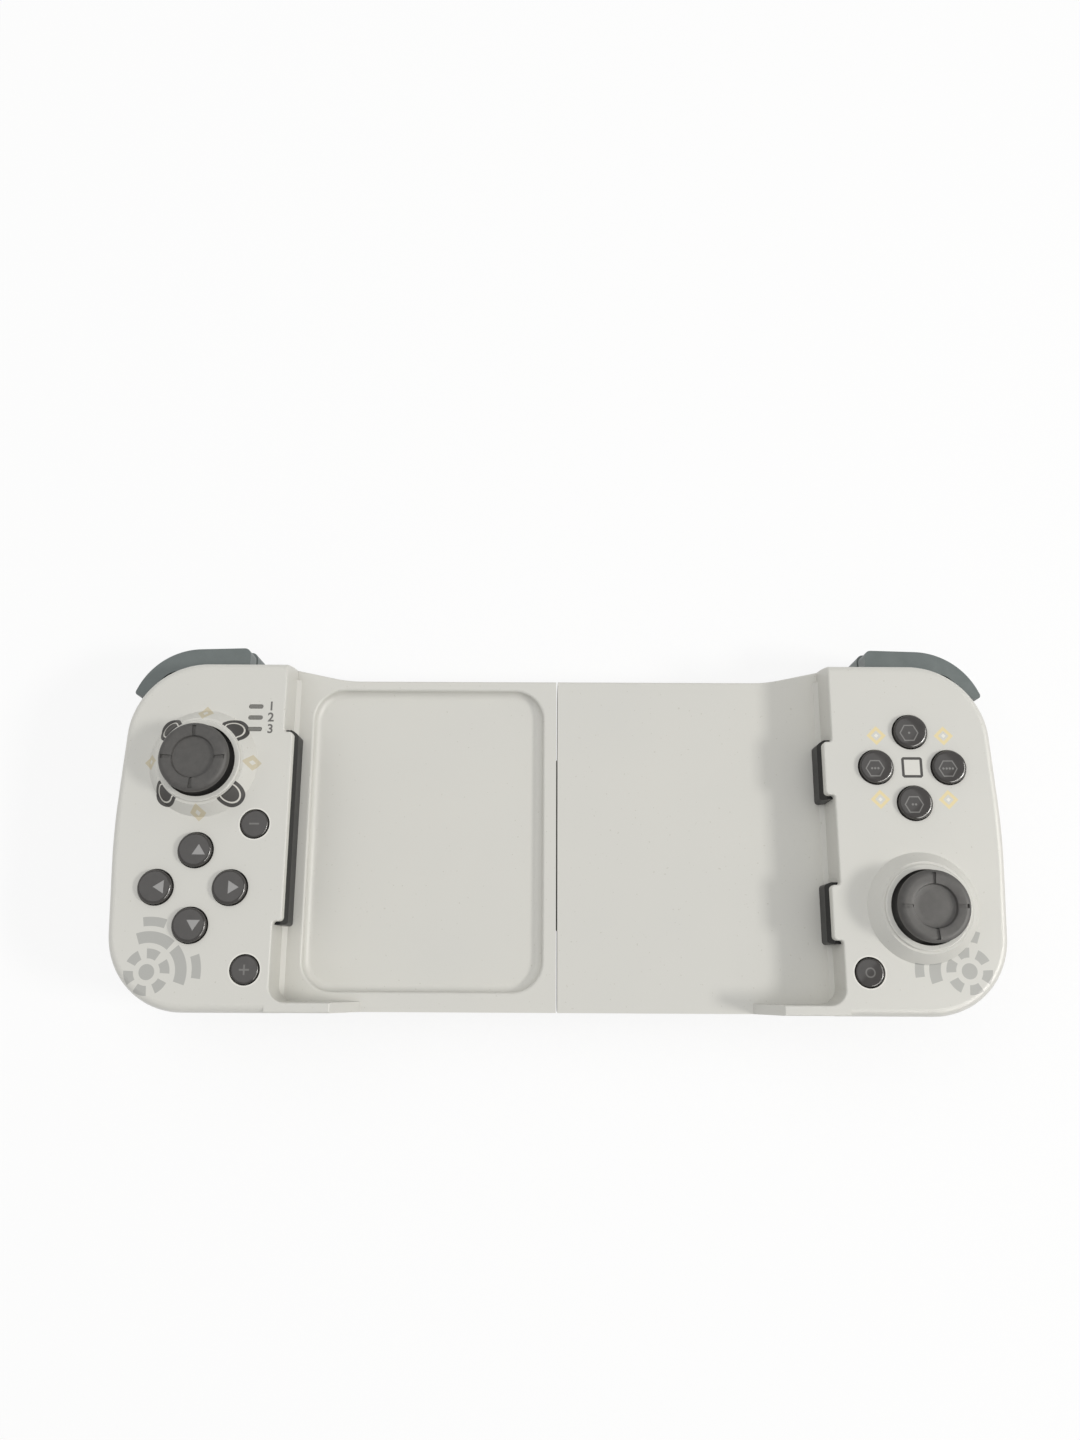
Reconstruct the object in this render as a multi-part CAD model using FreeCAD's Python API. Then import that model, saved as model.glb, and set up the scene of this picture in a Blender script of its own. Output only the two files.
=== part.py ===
import FreeCAD, Part

import math
import os

V = FreeCAD.Vector

# Whole controller. Depths are counted down from the front face of the grips.
FACE_HEIGHT = 28.0
PARTING_DEPTH = 13.0
FLOOR_DEPTH = 10.5
SLIDE_TRAVEL = 45.0

# Share of an outline's side that the roundings at its ends may fill
ARC_ROOM = 0.98

# Grip outline at the front face, for the right-hand grip
WALL_X = 62.2
GRIP_SIDE = 96.9
GRIP_TOP = 39.4
GRIP_BOTTOM = -38.2
SIDE_BOW = 1.9
CORNER_RADIUS = 17.5
BOW_RADIUS = 160.0

# How far the grip swells out at the parting line and draws in towards its back
SWELL_SIDE = 3.5
SWELL_TOP = 1.6
SWELL_BOTTOM = 0.6
REAR_INSET = 13.0
REAR_ROOT_X = 57.0
REAR_ROOT_RADIUS = 14.0
CORNER_TIGHTENING = 0.75
FACE_EDGE_RADIUS = 1.6
WALL_EDGE_RADIUS = 0.4

# Tray between the grips
SEAM_GAP = 0.15
TRAY_TOP = 38.3
TRAY_BOTTOM = -38.4
FLARE_START_X = 50.0
FLARE_TOP = 40.9
FLARE_RADIUS = 30.0
UNDERSIDE_RADIUS = 3.0
LIP_WALL = 2.2
LIP_END_X = 48.9
LIP_FOOT_X = 44.0
LIP_CORNER_RADIUS = 3.5
COVE_SIZE = 1.0
TRAY_EDGE_RADIUS = 0.5

# Walls of the mouldings
SKIN = 2.0
SIDE_WALL = 2.0
INNER_WALL = 1.6
TRAY_WALL = 1.6
FLOOR_SKIN = 1.6
END_WALL = 1.6
REAR_SKIN = 1.8
REVEAL = 0.2

# Camera pocket in the left tray
POCKET_SEAM_X = 3.3
POCKET_WALL_X = 57.6
POCKET_TOP = 35.9
POCKET_BOTTOM = -34.0
POCKET_RADIUS = 7.0
POCKET_DEPTH = 2.2
POCKET_COVE = 1.7
POCKET_RIM_RADIUS = 0.6
POCKET_SKIN = 1.2

# Overhanging tabs and the rubber pads under them: lower and upper ends along Y
TAB_OVERHANG = 2.0
TAB_REACH_X = WALL_X - TAB_OVERHANG
TAB_THICKNESS = 2.0
TAB_CORNER_RADIUS = 0.9
TAB_ROOT_RADIUS = 0.6
LEFT_TABS = [(-19.0, 23.5)]
RIGHT_TABS = [(-22.5, -10.5), (9.5, 21.7)]
PAD_FACE_X = 60.1
PAD_OVERRUN = 0.7
PAD_SLOPE = 0.8
PAD_SLOPE_DEPTH = 3.6
PAD_CORNER_RADIUS = 0.8

# Thumb sticks
LEFT_STICK = (80.0, 16.0)
RIGHT_STICK = (80.0, -15.5)
CONE_BASE_RADIUS = 12.2
CONE_HEIGHT = 3.8
RIM_RADIUS = 9.3
RIM_STEP = 0.35
RIM_HEIGHT = 0.75
OPENING_RADIUS = 8.15
CONE_WALL = 1.6
PIVOT_DEPTH = 7.0
CAP_TOP = 15.3
CAP_RADIUS = 7.7
CAP_TOP_RADIUS = 6.8
CAP_DISH_RADIUS = 4.6
CAP_DISH_DEPTH = 0.5
CAP_SHOULDER = 1.1
CAP_EDGE_HEIGHT = 13.2
CAP_EDGE_DRAFT = 0.15
CAP_UNDER_RISE = 0.7
CAP_BEVEL = 0.3
CAP_TICK = (1.8, 0.35, 0.2)
NECK_RADIUS = 3.5
NECK_FLARE = 0.7
SKIRT_RADIUS = 11.0
SKIRT_WALL = 0.8
SKIRT_ANGLE = 58.0
STEM_RADIUS = 1.5
STEM_FOOT = 2.4
STEM_FOOT_RIM = 0.7
SOCKET_WALL = 1.5
SOCKET_REACH = 2.6

# Stick module: housing, ring yoke and rocker, about the pivot
MODULE_HALF = 8.2
MODULE_CORNER = 5.0
MODULE_WALL = 0.9
MODULE_TOP = 2.4
MODULE_BOTTOM = 4.6
MODULE_BASE = 1.0
EAR_REACH = 2.2
EAR_WIDTH = 5.0
EAR_THICKNESS = 0.8
RING_OUTER = 6.4
RING_INNER = 4.9
RING_HALF_HEIGHT = 1.2
TRUNNION_SINK = 0.4
TRUNNION_RADIUS = 0.9
ROCKER_RADIUS = 3.4
ROCKER_HALF_HEIGHT = 1.5
RUNNING_CLEARANCE = 0.06

# Round buttons
BUTTON_RADIUS = 3.75
BUTTON_HEIGHT = 1.5
BUTTON_SHOULDER = 0.55
SMALL_BUTTON_RADIUS = 3.05
SMALL_BUTTON_HEIGHT = 0.45
SMALL_BUTTON_SHOULDER = 0.15
HOLE_CLEARANCE = 0.3
FLANGE_WIDTH = 1.0
FLANGE_THICKNESS = 0.8
PLUNGER_RADIUS = 1.8
PLUNGER_LENGTH = 0.4
DPAD_CENTRE = (80.2, -11.8)
DPAD_RADIUS = 8.2
FACE_CENTRE = (79.9, 15.8)
FACE_RADIUS = 8.15
LEFT_SMALL_BUTTONS = {"left_menu_button": (67.5, 2.3), "left_option_button": (67.6, -29.4)}
RIGHT_SMALL_BUTTONS = {"right_menu_button": (67.5, -29.3)}

# Indicator windows
LAMP_X = 68.9
LAMP_ROWS = [24.0, 26.7, 29.3]
LAMP_LENGTH = 3.3
LAMP_WIDTH = 1.0
LAMP_CLEARANCE = 0.08
GUIDE_BAR = 1.2

# Boards, dome mats and battery
BOARD_DEPTH = 6.5
BOARD_THICKNESS = 1.2
BOARD_GAP = 0.4
MAT_THICKNESS = 0.8
MAT_MARGIN = 5.0
MAT_DOME_FOOT = 3.0
MAT_DOME_TOP = 1.6
MAT_BRIDGE = 2.0
BATTERY_X = 80.0
BATTERY_Y = -4.0
BATTERY_SIZE = (23.0, 36.0, 5.5)
BATTERY_DEPTH = 13.5
BATTERY_RIB_SPAN = 20.0
BATTERY_CORNER = 2.0
RIB = 1.2

# Screws that hold the shells together
GRIP_SCREWS = [(92.0, 26.5), (91.0, -28.5), (67.5, 34.5)]
TRAY_SCREWS = [(8.0, 30.0), (8.0, -30.0)]
POST_RADIUS = 2.3
SCREW_RADIUS = 0.9
SCREW_CLEARANCE = 0.05
SCREW_GRIP = 3.0
TIP_CLEARANCE = 0.3
HEAD_RADIUS = 1.9
HEAD_HEIGHT = 1.2
HEAD_SEAT_DEPTH = 16.5
HEAD_CLEARANCE = 0.2
TRAY_SEAT_DEPTH = 19.5
TRAY_JOINT_DEPTH = 16.0
TRAY_SCREW_TOP = 14.3

# Shoulder keys: bumper in front, trigger behind it
KEY_INNER_X = 72.8
KEY_OUTER_X = 100.6
KEY_TOP = 46.0
KEY_SHOULDER = (95.5, 0.6)
KEY_RADIUS = 17.0
KEY_END_Y = 33.5
KEY_END_WIDTH = 3.0
KEY_BACK_Y = 39.5
KEY_WALL = 1.8
KEY_FLANGE = 1.3
KEY_ROUNDINGS = {"root": 0.3, "back": 5.0, "tip": 0.8, "top": 1.5}
BUMPER_DEPTHS = (6.4, 11.6)
BUMPER_SETBACK = 0.8
TRIGGER_DEPTHS = (12.9, 22.0)
WINDOW_GAP = 0.45
WINDOW_END_Y = 31.2
WINDOW_LOWER_DEPTH = 23.0
BUMPER_PIN = (75.5, 35.9)
TRIGGER_PIN_Y = 36.0
TRIGGER_PIN_DEPTH = 15.2
PIN_RADIUS = 0.8
BARREL_RADIUS = 2.2
BRACKET_Y = (31.9, 33.2)
BRACKET_X = (73.6, 93.4)
LUG = 1.4
BARREL_SETBACK = 0.4
EAR_GAP = 0.3
EAR = 2.0
SWITCH_SETBACK = 7.5
SWITCH_X = KEY_SHOULDER[0] - SWITCH_SETBACK
SWITCH_SIZE = 4.0
SWITCH_Y = 39.0
PLUNGER_SIZE = 1.0
NIB_END_Y = 40.4
SWITCH_HEIGHT = 2.0
BUMPER_SWITCH_DEPTH = 9.0
TRIGGER_SWITCH_DEPTH = 19.4
NIB_WIDTH = 2.0
NIB_HEIGHT = 1.2
COIL_X = 81.5
COIL_RADIUS = 1.2
COIL_WIRE = 0.2
COIL_PITCH = 0.6
COIL_LEG = 8.5
COIL_TURNS = 3
COIL_END_ANGLE = 65.0

# Sliding tongue, its rails, springs and the flat cable
TONGUE_HALF_WIDTH = 20.0
TONGUE_PLATE = 1.0
TONGUE_WALL = 1.2
TONGUE_INSIDE = 3.0
COVER_PLATE = 0.7
TONGUE_HOLD = 11.0
TONGUE_LEFT_X = -(SLIDE_TRAVEL + TONGUE_HOLD)
TONGUE_RIGHT_X = 40.0
RAIL_LEFT_X = -57.5
RAIL_RIGHT_X = -2.0
RAIL_FLANGE = 1.0
RAIL_FOOT = 0.9
RAIL_LAP = 2.5
RAIL_WALL = 1.2
SLIDE_CLEARANCE = 0.3
TONGUE_HEIGHT = TONGUE_PLATE + TONGUE_INSIDE + COVER_PLATE
TONGUE_ROOM = TONGUE_HEIGHT + 2 * SLIDE_CLEARANCE
TONGUE_ROOM_DEPTH = FLOOR_DEPTH + POCKET_DEPTH + POCKET_SKIN + RAIL_FLANGE
UNDERSIDE_DEPTH = TONGUE_ROOM_DEPTH + TONGUE_ROOM + RAIL_FOOT + TRAY_WALL
TONGUE_POSTS = [(14.0, 12.0), (14.0, -12.0), (34.0, 12.0), (34.0, -12.0)]
SPRING_Y = 13.0
SPRING_LEFT_X = -59.0
SPRING_RIGHT_X = -6.0
SPRING_RADIUS = 1.0
SPRING_WIRE = 0.28
SPRING_TURNS = 18
PEG_RADIUS = 0.6
CABLE_WIDTH = 9.0
CABLE_THICKNESS = 0.25
CABLE_BEND = 0.5
CABLE_FOLDS = (-12.0, -40.0)
CABLE_DROP_X = 65.2
CABLE_PLUG_X = 68.0
CABLE_SPACING = 1.15

# Charging socket in the lower edge of the right grip
SOCKET_X = 78.0
SOCKET_WIDTH = 8.9
SOCKET_HEIGHT = 3.2
SOCKET_LENGTH = 7.3
SOCKET_SHEET = 0.3
SOCKET_OUTER_Y = -38.3
SOCKET_BLADE = (6.7, 0.7, 5.5)


def down(depth):
    """Height above the table of a depth below the front face."""
    return FACE_HEIGHT - depth


def side_share(corners):
    """For the side after each corner: how much of its roundings fits on it, at most 1."""
    spans = []
    tangents = []
    for index, (x, y, radius) in enumerate(corners):
        corner = V(x, y, 0)
        back = V(*corners[index - 1][:2], 0) - corner
        ahead = V(*corners[(index + 1) % len(corners)][:2], 0) - corner
        spans.append(ahead.Length)
        tangents.append(radius / math.tan(back.getAngle(ahead) / 2))
    shares = []
    for index, span in enumerate(spans):
        wanted = tangents[index] + tangents[(index + 1) % len(spans)]
        shares.append(1 if wanted < ARC_ROOM * span else ARC_ROOM * span / wanted)
    return shares


def outline(corners, depth):
    """Closed flat wire through (x, y, radius) corners, each rounded by a tangent arc."""
    arcs = []
    shares = side_share(corners)
    for index, (x, y, radius) in enumerate(corners):
        corner = V(x, y, down(depth))
        before = V(*corners[index - 1][:2], down(depth))
        after = V(*corners[(index + 1) % len(corners)][:2], down(depth))
        back = (before - corner).normalize()
        ahead = (after - corner).normalize()
        if radius == 0:
            arcs.append((corner, None, corner))
            continue
        radius *= min(shares[index - 1], shares[index])
        half = back.getAngle(ahead) / 2
        start = corner + back * (radius / math.tan(half))
        end = corner + ahead * (radius / math.tan(half))
        centre = corner + (back + ahead).normalize() * (radius / math.sin(half))
        middle = centre + (corner - centre).normalize() * radius
        arcs.append((start, middle, end))
    edges = []
    for index, (start, middle, end) in enumerate(arcs):
        if middle is not None:
            edges.append(Part.Arc(start, middle, end).toShape())
        edges.append(Part.makeLine(end, arcs[(index + 1) % len(arcs)][0]))
    return Part.Wire(edges)


def prism(corners, upper, lower):
    """Upright solid of an outline, between two depths."""
    return Part.Face(outline(corners, lower)).extrude(V(0, 0, lower - upper))


def block(x_range, y_range, upper, lower):
    """Upright box between two x, two y and two depths."""
    size = (x_range[1] - x_range[0], y_range[1] - y_range[0], lower - upper)
    return Part.makeBox(*size, V(x_range[0], y_range[0], down(lower)))


def rectangle(x_range, y_range, radius):
    """Corners of a rounded rectangle."""
    (x0, x1), (y0, y1) = x_range, y_range
    return [(x0, y0, radius), (x1, y0, radius), (x1, y1, radius), (x0, y1, radius)]


def post(place, radius, upper, lower):
    """Upright round post or hole between two depths."""
    return Part.makeCylinder(radius, lower - upper, V(place[0], place[1], down(lower)))


def loft(plan, depths):
    """Smooth solid through the outlines that plan(depth) gives."""
    return Part.makeLoft([outline(plan(depth), depth) for depth in depths], True, False)


def turned(profile, place, height):
    """Body turned about an upright axis. A profile point is (radius, height) or, where an arc
    arrives at it, (radius, height, radius of the arc's middle, height of the arc's middle)."""
    edges = []
    for index, point in enumerate(profile):
        start = V(profile[index - 1][0], 0, profile[index - 1][1])
        end = V(point[0], 0, point[1])
        if len(point) == 4:
            edges.append(Part.Arc(start, V(point[2], 0, point[3]), end).toShape())
        else:
            edges.append(Part.makeLine(start, end))
    body = Part.Face(Part.Wire(edges)).revolve(V(0, 0, 0), V(0, 0, 1), 360)
    return body.translated(V(place[0], place[1], height))


def evenly(start, end, count):
    """Values from start to end in equal steps, both included."""
    return [start + (end - start) * step / (count - 1) for step in range(count)]


def mirrored(shape):
    """The same piece for the left-hand side."""
    return shape.mirror(V(0, 0, 0), V(1, 0, 0))


def cross_places(centre, radius):
    """Places of four buttons around a centre, keyed by where they lie."""
    x, y = centre
    return {
        "top": (x, y + radius),
        "bottom": (x, y - radius),
        "inner": (x - radius, y),
        "outer": (x + radius, y),
    }


def front_plan(inset, inner_x):
    """Outline of a grip in front of the parting line, drawn in by an inset."""
    def plan(depth):
        swell = math.cos(math.pi / 2 * (PARTING_DEPTH - depth) / PARTING_DEPTH)
        side = GRIP_SIDE + SWELL_SIDE * swell - inset
        top = GRIP_TOP + SWELL_TOP * swell - inset
        bottom = GRIP_BOTTOM - SWELL_BOTTOM * swell + inset
        radius = CORNER_RADIUS - CORNER_TIGHTENING * inset
        return [
            (inner_x, bottom, 0),
            (side, bottom, radius),
            (side + SIDE_BOW, (top + bottom) / 2, BOW_RADIUS),
            (side, top, radius),
            (inner_x, top, 0),
        ]
    return plan


def rear_plan(inset):
    """Outline of a grip behind the parting line: a quarter of an ellipse down to the table."""
    def plan(depth):
        rise = (depth - PARTING_DEPTH) / (FACE_HEIGHT - inset - PARTING_DEPTH)
        shrink = REAR_INSET * (1 - math.sqrt(max(0.0, 1 - rise ** 2))) + inset
        side = GRIP_SIDE + SWELL_SIDE - shrink
        top = GRIP_TOP + SWELL_TOP - shrink
        bottom = GRIP_BOTTOM - SWELL_BOTTOM + shrink
        radius = CORNER_RADIUS - CORNER_TIGHTENING * shrink
        root_radius = REAR_ROOT_RADIUS - CORNER_TIGHTENING * shrink
        return [
            (REAR_ROOT_X + shrink, bottom, root_radius),
            (side, bottom, radius),
            (side + SIDE_BOW, (top + bottom) / 2, BOW_RADIUS),
            (side, top, radius),
            (REAR_ROOT_X + shrink, top, root_radius),
        ]
    return plan


def rear_depths(inset):
    """Depths at which the rear outline is drawn, closer together towards the table."""
    reach = FACE_HEIGHT - inset - PARTING_DEPTH
    return [PARTING_DEPTH + reach * math.sin(math.radians(turn)) for turn in (0, 22.5, 45, 67.5, 90)]


def tray_plan(inset):
    """Outline of one tray half, with the flare where its upper edge runs into the grip."""
    root_x = WALL_X + INNER_WALL / 2
    return [
        (SEAM_GAP + inset, TRAY_BOTTOM + inset, 0),
        (root_x, TRAY_BOTTOM + inset, 0),
        (root_x, FLARE_TOP - inset, 0),
        (WALL_X, FLARE_TOP - inset, 0),
        (FLARE_START_X, TRAY_TOP - inset, FLARE_RADIUS),
        (SEAM_GAP + inset, TRAY_TOP - inset, 0),
    ]


def top_edges(shape):
    """Edges at the level of the front face."""
    return [edge for edge in shape.Edges if edge.BoundBox.ZMin > down(0) - 1e-4]


def face_edges(shape):
    """Edges around the front face, apart from the one along the inner wall."""
    return [edge for edge in top_edges(shape) if edge.BoundBox.XMax > WALL_X + 1e-3]


def wall_edges(shape):
    """Edges of the front face along the inner wall and its tabs, and around the bottom lip."""
    picked = []
    for edge in top_edges(shape):
        box = edge.BoundBox
        inside = box.XMax < WALL_X + 1e-3 and box.YMin > TRAY_BOTTOM + 1e-3
        lip_end = box.XMax < LIP_END_X + 1e-3
        lip_side = box.YMax < TRAY_BOTTOM + 1e-3
        if inside or lip_end or lip_side:
            picked.append(edge)
    return picked


def floor_edges(shape, x_range, y_range):
    """Edges at the tray floor's level inside an x and a y range."""
    slack = 1e-3
    picked = []
    for edge in shape.Edges:
        box = edge.BoundBox
        level = box.ZMin > down(FLOOR_DEPTH) - slack and box.ZMax < down(FLOOR_DEPTH) + slack
        along_x = box.XMin > x_range[0] - slack and box.XMax < x_range[1] + slack
        along_y = box.YMin > y_range[0] - slack and box.YMax < y_range[1] + slack
        if level and along_x and along_y:
            picked.append(edge)
    return picked


def upper_edges(shape):
    """The tray floor's upper edge, from the seam to the grip."""
    edges = floor_edges(shape, (SEAM_GAP, WALL_X), (TRAY_TOP, FLARE_TOP))
    return [edge for edge in edges if edge.BoundBox.XLength > COVE_SIZE + POCKET_RIM_RADIUS]


def pad_spans(tabs):
    """Lower and upper ends of the rubber pads under the tabs."""
    return [(low - PAD_OVERRUN, high + PAD_OVERRUN) for low, high in tabs]


def wall_coves(tabs):
    """Sloped foot of the inner wall, between the pads."""
    stops = [TRAY_BOTTOM + LIP_WALL]
    for low, high in pad_spans(tabs):
        stops += [low, high]
    stops.append(TRAY_TOP)
    coves = []
    for low, high in zip(stops[0::2], stops[1::2]):
        foot = [
            V(WALL_X, low, down(FLOOR_DEPTH)),
            V(WALL_X, low, down(FLOOR_DEPTH - COVE_SIZE)),
            V(WALL_X - COVE_SIZE, low, down(FLOOR_DEPTH)),
        ]
        coves.append(Part.Face(Part.makePolygon(foot + foot[:1])).extrude(V(0, high - low, 0)))
    return coves


def bottom_lip():
    """Low wall along the lower edge beside the grip, sloping down to the tray floor."""
    root_x = WALL_X + INNER_WALL / 2
    side = [
        V(root_x, TRAY_BOTTOM, down(FLOOR_DEPTH)),
        V(LIP_FOOT_X, TRAY_BOTTOM, down(FLOOR_DEPTH)),
        V(LIP_END_X, TRAY_BOTTOM, down(0)),
        V(root_x, TRAY_BOTTOM, down(0)),
    ]
    wall = Part.Face(Part.makePolygon(side + side[:1])).extrude(V(0, LIP_WALL, 0))
    inside = TRAY_BOTTOM + LIP_WALL
    centre = (WALL_X - LIP_CORNER_RADIUS, inside + LIP_CORNER_RADIUS)
    corner = block((centre[0], WALL_X), (inside, centre[1]), 0, FLOOR_DEPTH)
    return [wall, corner.cut(post(centre, LIP_CORNER_RADIUS, 0, FLOOR_DEPTH))]


def tab(span):
    """Overhanging tab level with the face, which runs into the inner wall in small hollow corners."""
    low, high = span
    root_x = WALL_X + INNER_WALL / 2
    run = 2 * TAB_ROOT_RADIUS
    corners = [
        (TAB_REACH_X, low, TAB_CORNER_RADIUS),
        (WALL_X, low, TAB_ROOT_RADIUS),
        (WALL_X, low - run, 0),
        (root_x, low - run, 0),
        (root_x, high + run, 0),
        (WALL_X, high + run, 0),
        (WALL_X, high, TAB_ROOT_RADIUS),
        (TAB_REACH_X, high, TAB_CORNER_RADIUS),
    ]
    return prism(corners, 0, TAB_THICKNESS)


def stick_cone(place):
    """Raised cone around a stick, with a narrow rim at its mouth."""
    slope = (CONE_BASE_RADIUS - RIM_RADIUS) / CONE_HEIGHT
    rim_foot = CONE_HEIGHT - RIM_HEIGHT
    bend = RIM_STEP * (1 - math.sin(math.pi / 4))
    profile = [
        (OPENING_RADIUS, CONE_HEIGHT),
        (OPENING_RADIUS, CONE_HEIGHT - CONE_WALL),
        (CONE_BASE_RADIUS - CONE_WALL, 0),
        (CONE_BASE_RADIUS - CONE_WALL, -SKIN),
        (CONE_BASE_RADIUS, -SKIN),
        (CONE_BASE_RADIUS, 0),
        (RIM_RADIUS + RIM_STEP + slope * RIM_STEP, rim_foot),
        (RIM_RADIUS, rim_foot),
        (RIM_RADIUS, CONE_HEIGHT - RIM_STEP),
        (RIM_RADIUS - RIM_STEP, CONE_HEIGHT, RIM_RADIUS - bend, CONE_HEIGHT - bend),
    ]
    return turned(profile, place, down(0))


def lamp_slot(row, clearance):
    """Corners of one indicator window."""
    x_range = (LAMP_X - LAMP_LENGTH / 2 + clearance, LAMP_X + LAMP_LENGTH / 2 - clearance)
    y_range = (row - LAMP_WIDTH / 2 + clearance, row + LAMP_WIDTH / 2 - clearance)
    return rectangle(x_range, y_range, 0.45 * (LAMP_WIDTH - 2 * clearance))


def key_window():
    """Opening in the side walls of both shells for the bumper and trigger."""
    x_range = (KEY_INNER_X - WINDOW_GAP, KEY_OUTER_X + SWELL_SIDE)
    upper = BUMPER_DEPTHS[0] - WINDOW_GAP
    return block(x_range, (WINDOW_END_Y, KEY_TOP + WINDOW_GAP), upper, WINDOW_LOWER_DEPTH)


def tongue_depths():
    """Depths of the tongue's upper face, plate underside, cover's upper face and underside."""
    upper = TONGUE_ROOM_DEPTH + SLIDE_CLEARANCE
    plate = upper + TONGUE_PLATE
    cover = plate + TONGUE_INSIDE
    return upper, plate, cover, cover + COVER_PLATE


def tongue_slot():
    """Slot in the end walls that the tongue passes through."""
    upper, _, _, lower = tongue_depths()
    half = TONGUE_HALF_WIDTH + SLIDE_CLEARANCE
    return block((0, 2 * END_WALL), (-half, half), upper - SLIDE_CLEARANCE, lower + SLIDE_CLEARANCE)


def camera_pocket():
    """Space of the pocket in the left tray, with a coved foot."""
    x_range, y_range = (POCKET_SEAM_X, POCKET_WALL_X), (POCKET_BOTTOM, POCKET_TOP)
    lower = FLOOR_DEPTH + POCKET_DEPTH
    space = prism(rectangle(x_range, y_range, POCKET_RADIUS), FLOOR_DEPTH - 1, lower)
    foot = [edge for edge in space.Edges if edge.BoundBox.ZMax < down(lower) + 1e-4]
    return space.makeFillet(POCKET_COVE, foot)


def pocket_pan(clearance):
    """Thin pan that hangs below the tray floor around the pocket."""
    wall = POCKET_SKIN + clearance
    x_range = (POCKET_SEAM_X - wall, POCKET_WALL_X + wall)
    y_range = (POCKET_BOTTOM - wall, POCKET_TOP + wall)
    corners = rectangle(x_range, y_range, POCKET_RADIUS + wall)
    return prism(corners, FLOOR_DEPTH, FLOOR_DEPTH + POCKET_DEPTH + wall)


def spring_pegs():
    """Pegs under the left pan that hold the fixed ends of the return springs."""
    under = FLOOR_DEPTH + POCKET_DEPTH
    _, _, cover, _ = tongue_depths()
    ends = [(-SPRING_LEFT_X, side * SPRING_Y) for side in (-1, 1)]
    return [post(end, PEG_RADIUS, under, cover) for end in ends]


def button_places(centre, radius, small):
    """Every button of one grip with its radius: (place, button radius)."""
    places = [(place, BUTTON_RADIUS) for place in cross_places(centre, radius).values()]
    return places + [(place, SMALL_BUTTON_RADIUS) for place in small.values()]


def front_shell(stick, buttons, tabs, left):
    """Grip face, stick cone, inner wall, tabs, lip and tray floor of one half, as one moulding."""
    lower = PARTING_DEPTH - REVEAL / 2
    body = loft(front_plan(0, WALL_X), evenly(0, lower, 4))
    body = body.makeFillet(FACE_EDGE_RADIUS, face_edges(body))
    body = body.fuse(bottom_lip() + [tab(span) for span in tabs]).removeSplitter()
    body = body.makeFillet(WALL_EDGE_RADIUS, wall_edges(body))
    tray = prism(tray_plan(0), FLOOR_DEPTH, lower)
    body = body.fuse([tray] + wall_coves(tabs))

    inside_x = WALL_X + INNER_WALL
    under = FLOOR_DEPTH + FLOOR_SKIN
    hollow = loft(front_plan(SIDE_WALL, inside_x), evenly(SKIN, PARTING_DEPTH, 4))
    tray_hollow = prism(tray_plan(TRAY_WALL), under, PARTING_DEPTH)
    passage_y = (TRAY_BOTTOM + SIDE_WALL, TRAY_TOP - SIDE_WALL)
    passage = block((WALL_X, inside_x + INNER_WALL), passage_y, under, PARTING_DEPTH)
    shell = body.cut([hollow, tray_hollow, passage])

    hole = SCREW_RADIUS + SCREW_CLEARANCE
    added = [stick_cone(stick)]
    added += [post(place, POST_RADIUS, SKIN / 2, BOARD_DEPTH) for place in GRIP_SCREWS]
    added += [post(place, POST_RADIUS, under - FLOOR_SKIN / 2, TRAY_JOINT_DEPTH) for place in TRAY_SCREWS]
    removed = [post(stick, CONE_BASE_RADIUS - CONE_WALL, 0, SKIN), key_window()]
    removed += [post(place, radius + HOLE_CLEARANCE, -1, SKIN + 1) for place, radius in buttons]
    removed += [post(place, hole, SCREW_GRIP, BOARD_DEPTH) for place in GRIP_SCREWS]
    removed += [post(place, hole, TRAY_SCREW_TOP, TRAY_JOINT_DEPTH) for place in TRAY_SCREWS]
    if left:
        added += [pocket_pan(0)] + spring_pegs()
        removed += [camera_pocket()] + [prism(lamp_slot(row, 0), -1, SKIN + 1) for row in LAMP_ROWS]
    else:
        seat = tongue_depths()[0]
        added += [post(place, POST_RADIUS, under - FLOOR_SKIN / 2, seat) for place in TONGUE_POSTS]
        removed.append(socket_opening())
    shell = shell.fuse(added).cut(removed)
    shell = shell.makeFillet(TRAY_EDGE_RADIUS, upper_edges(shell))
    if left:
        rim = floor_edges(shell, (POCKET_SEAM_X, POCKET_WALL_X), (POCKET_BOTTOM, POCKET_TOP))
        shell = shell.makeFillet(POCKET_RIM_RADIUS, rim)
    return shell


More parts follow.
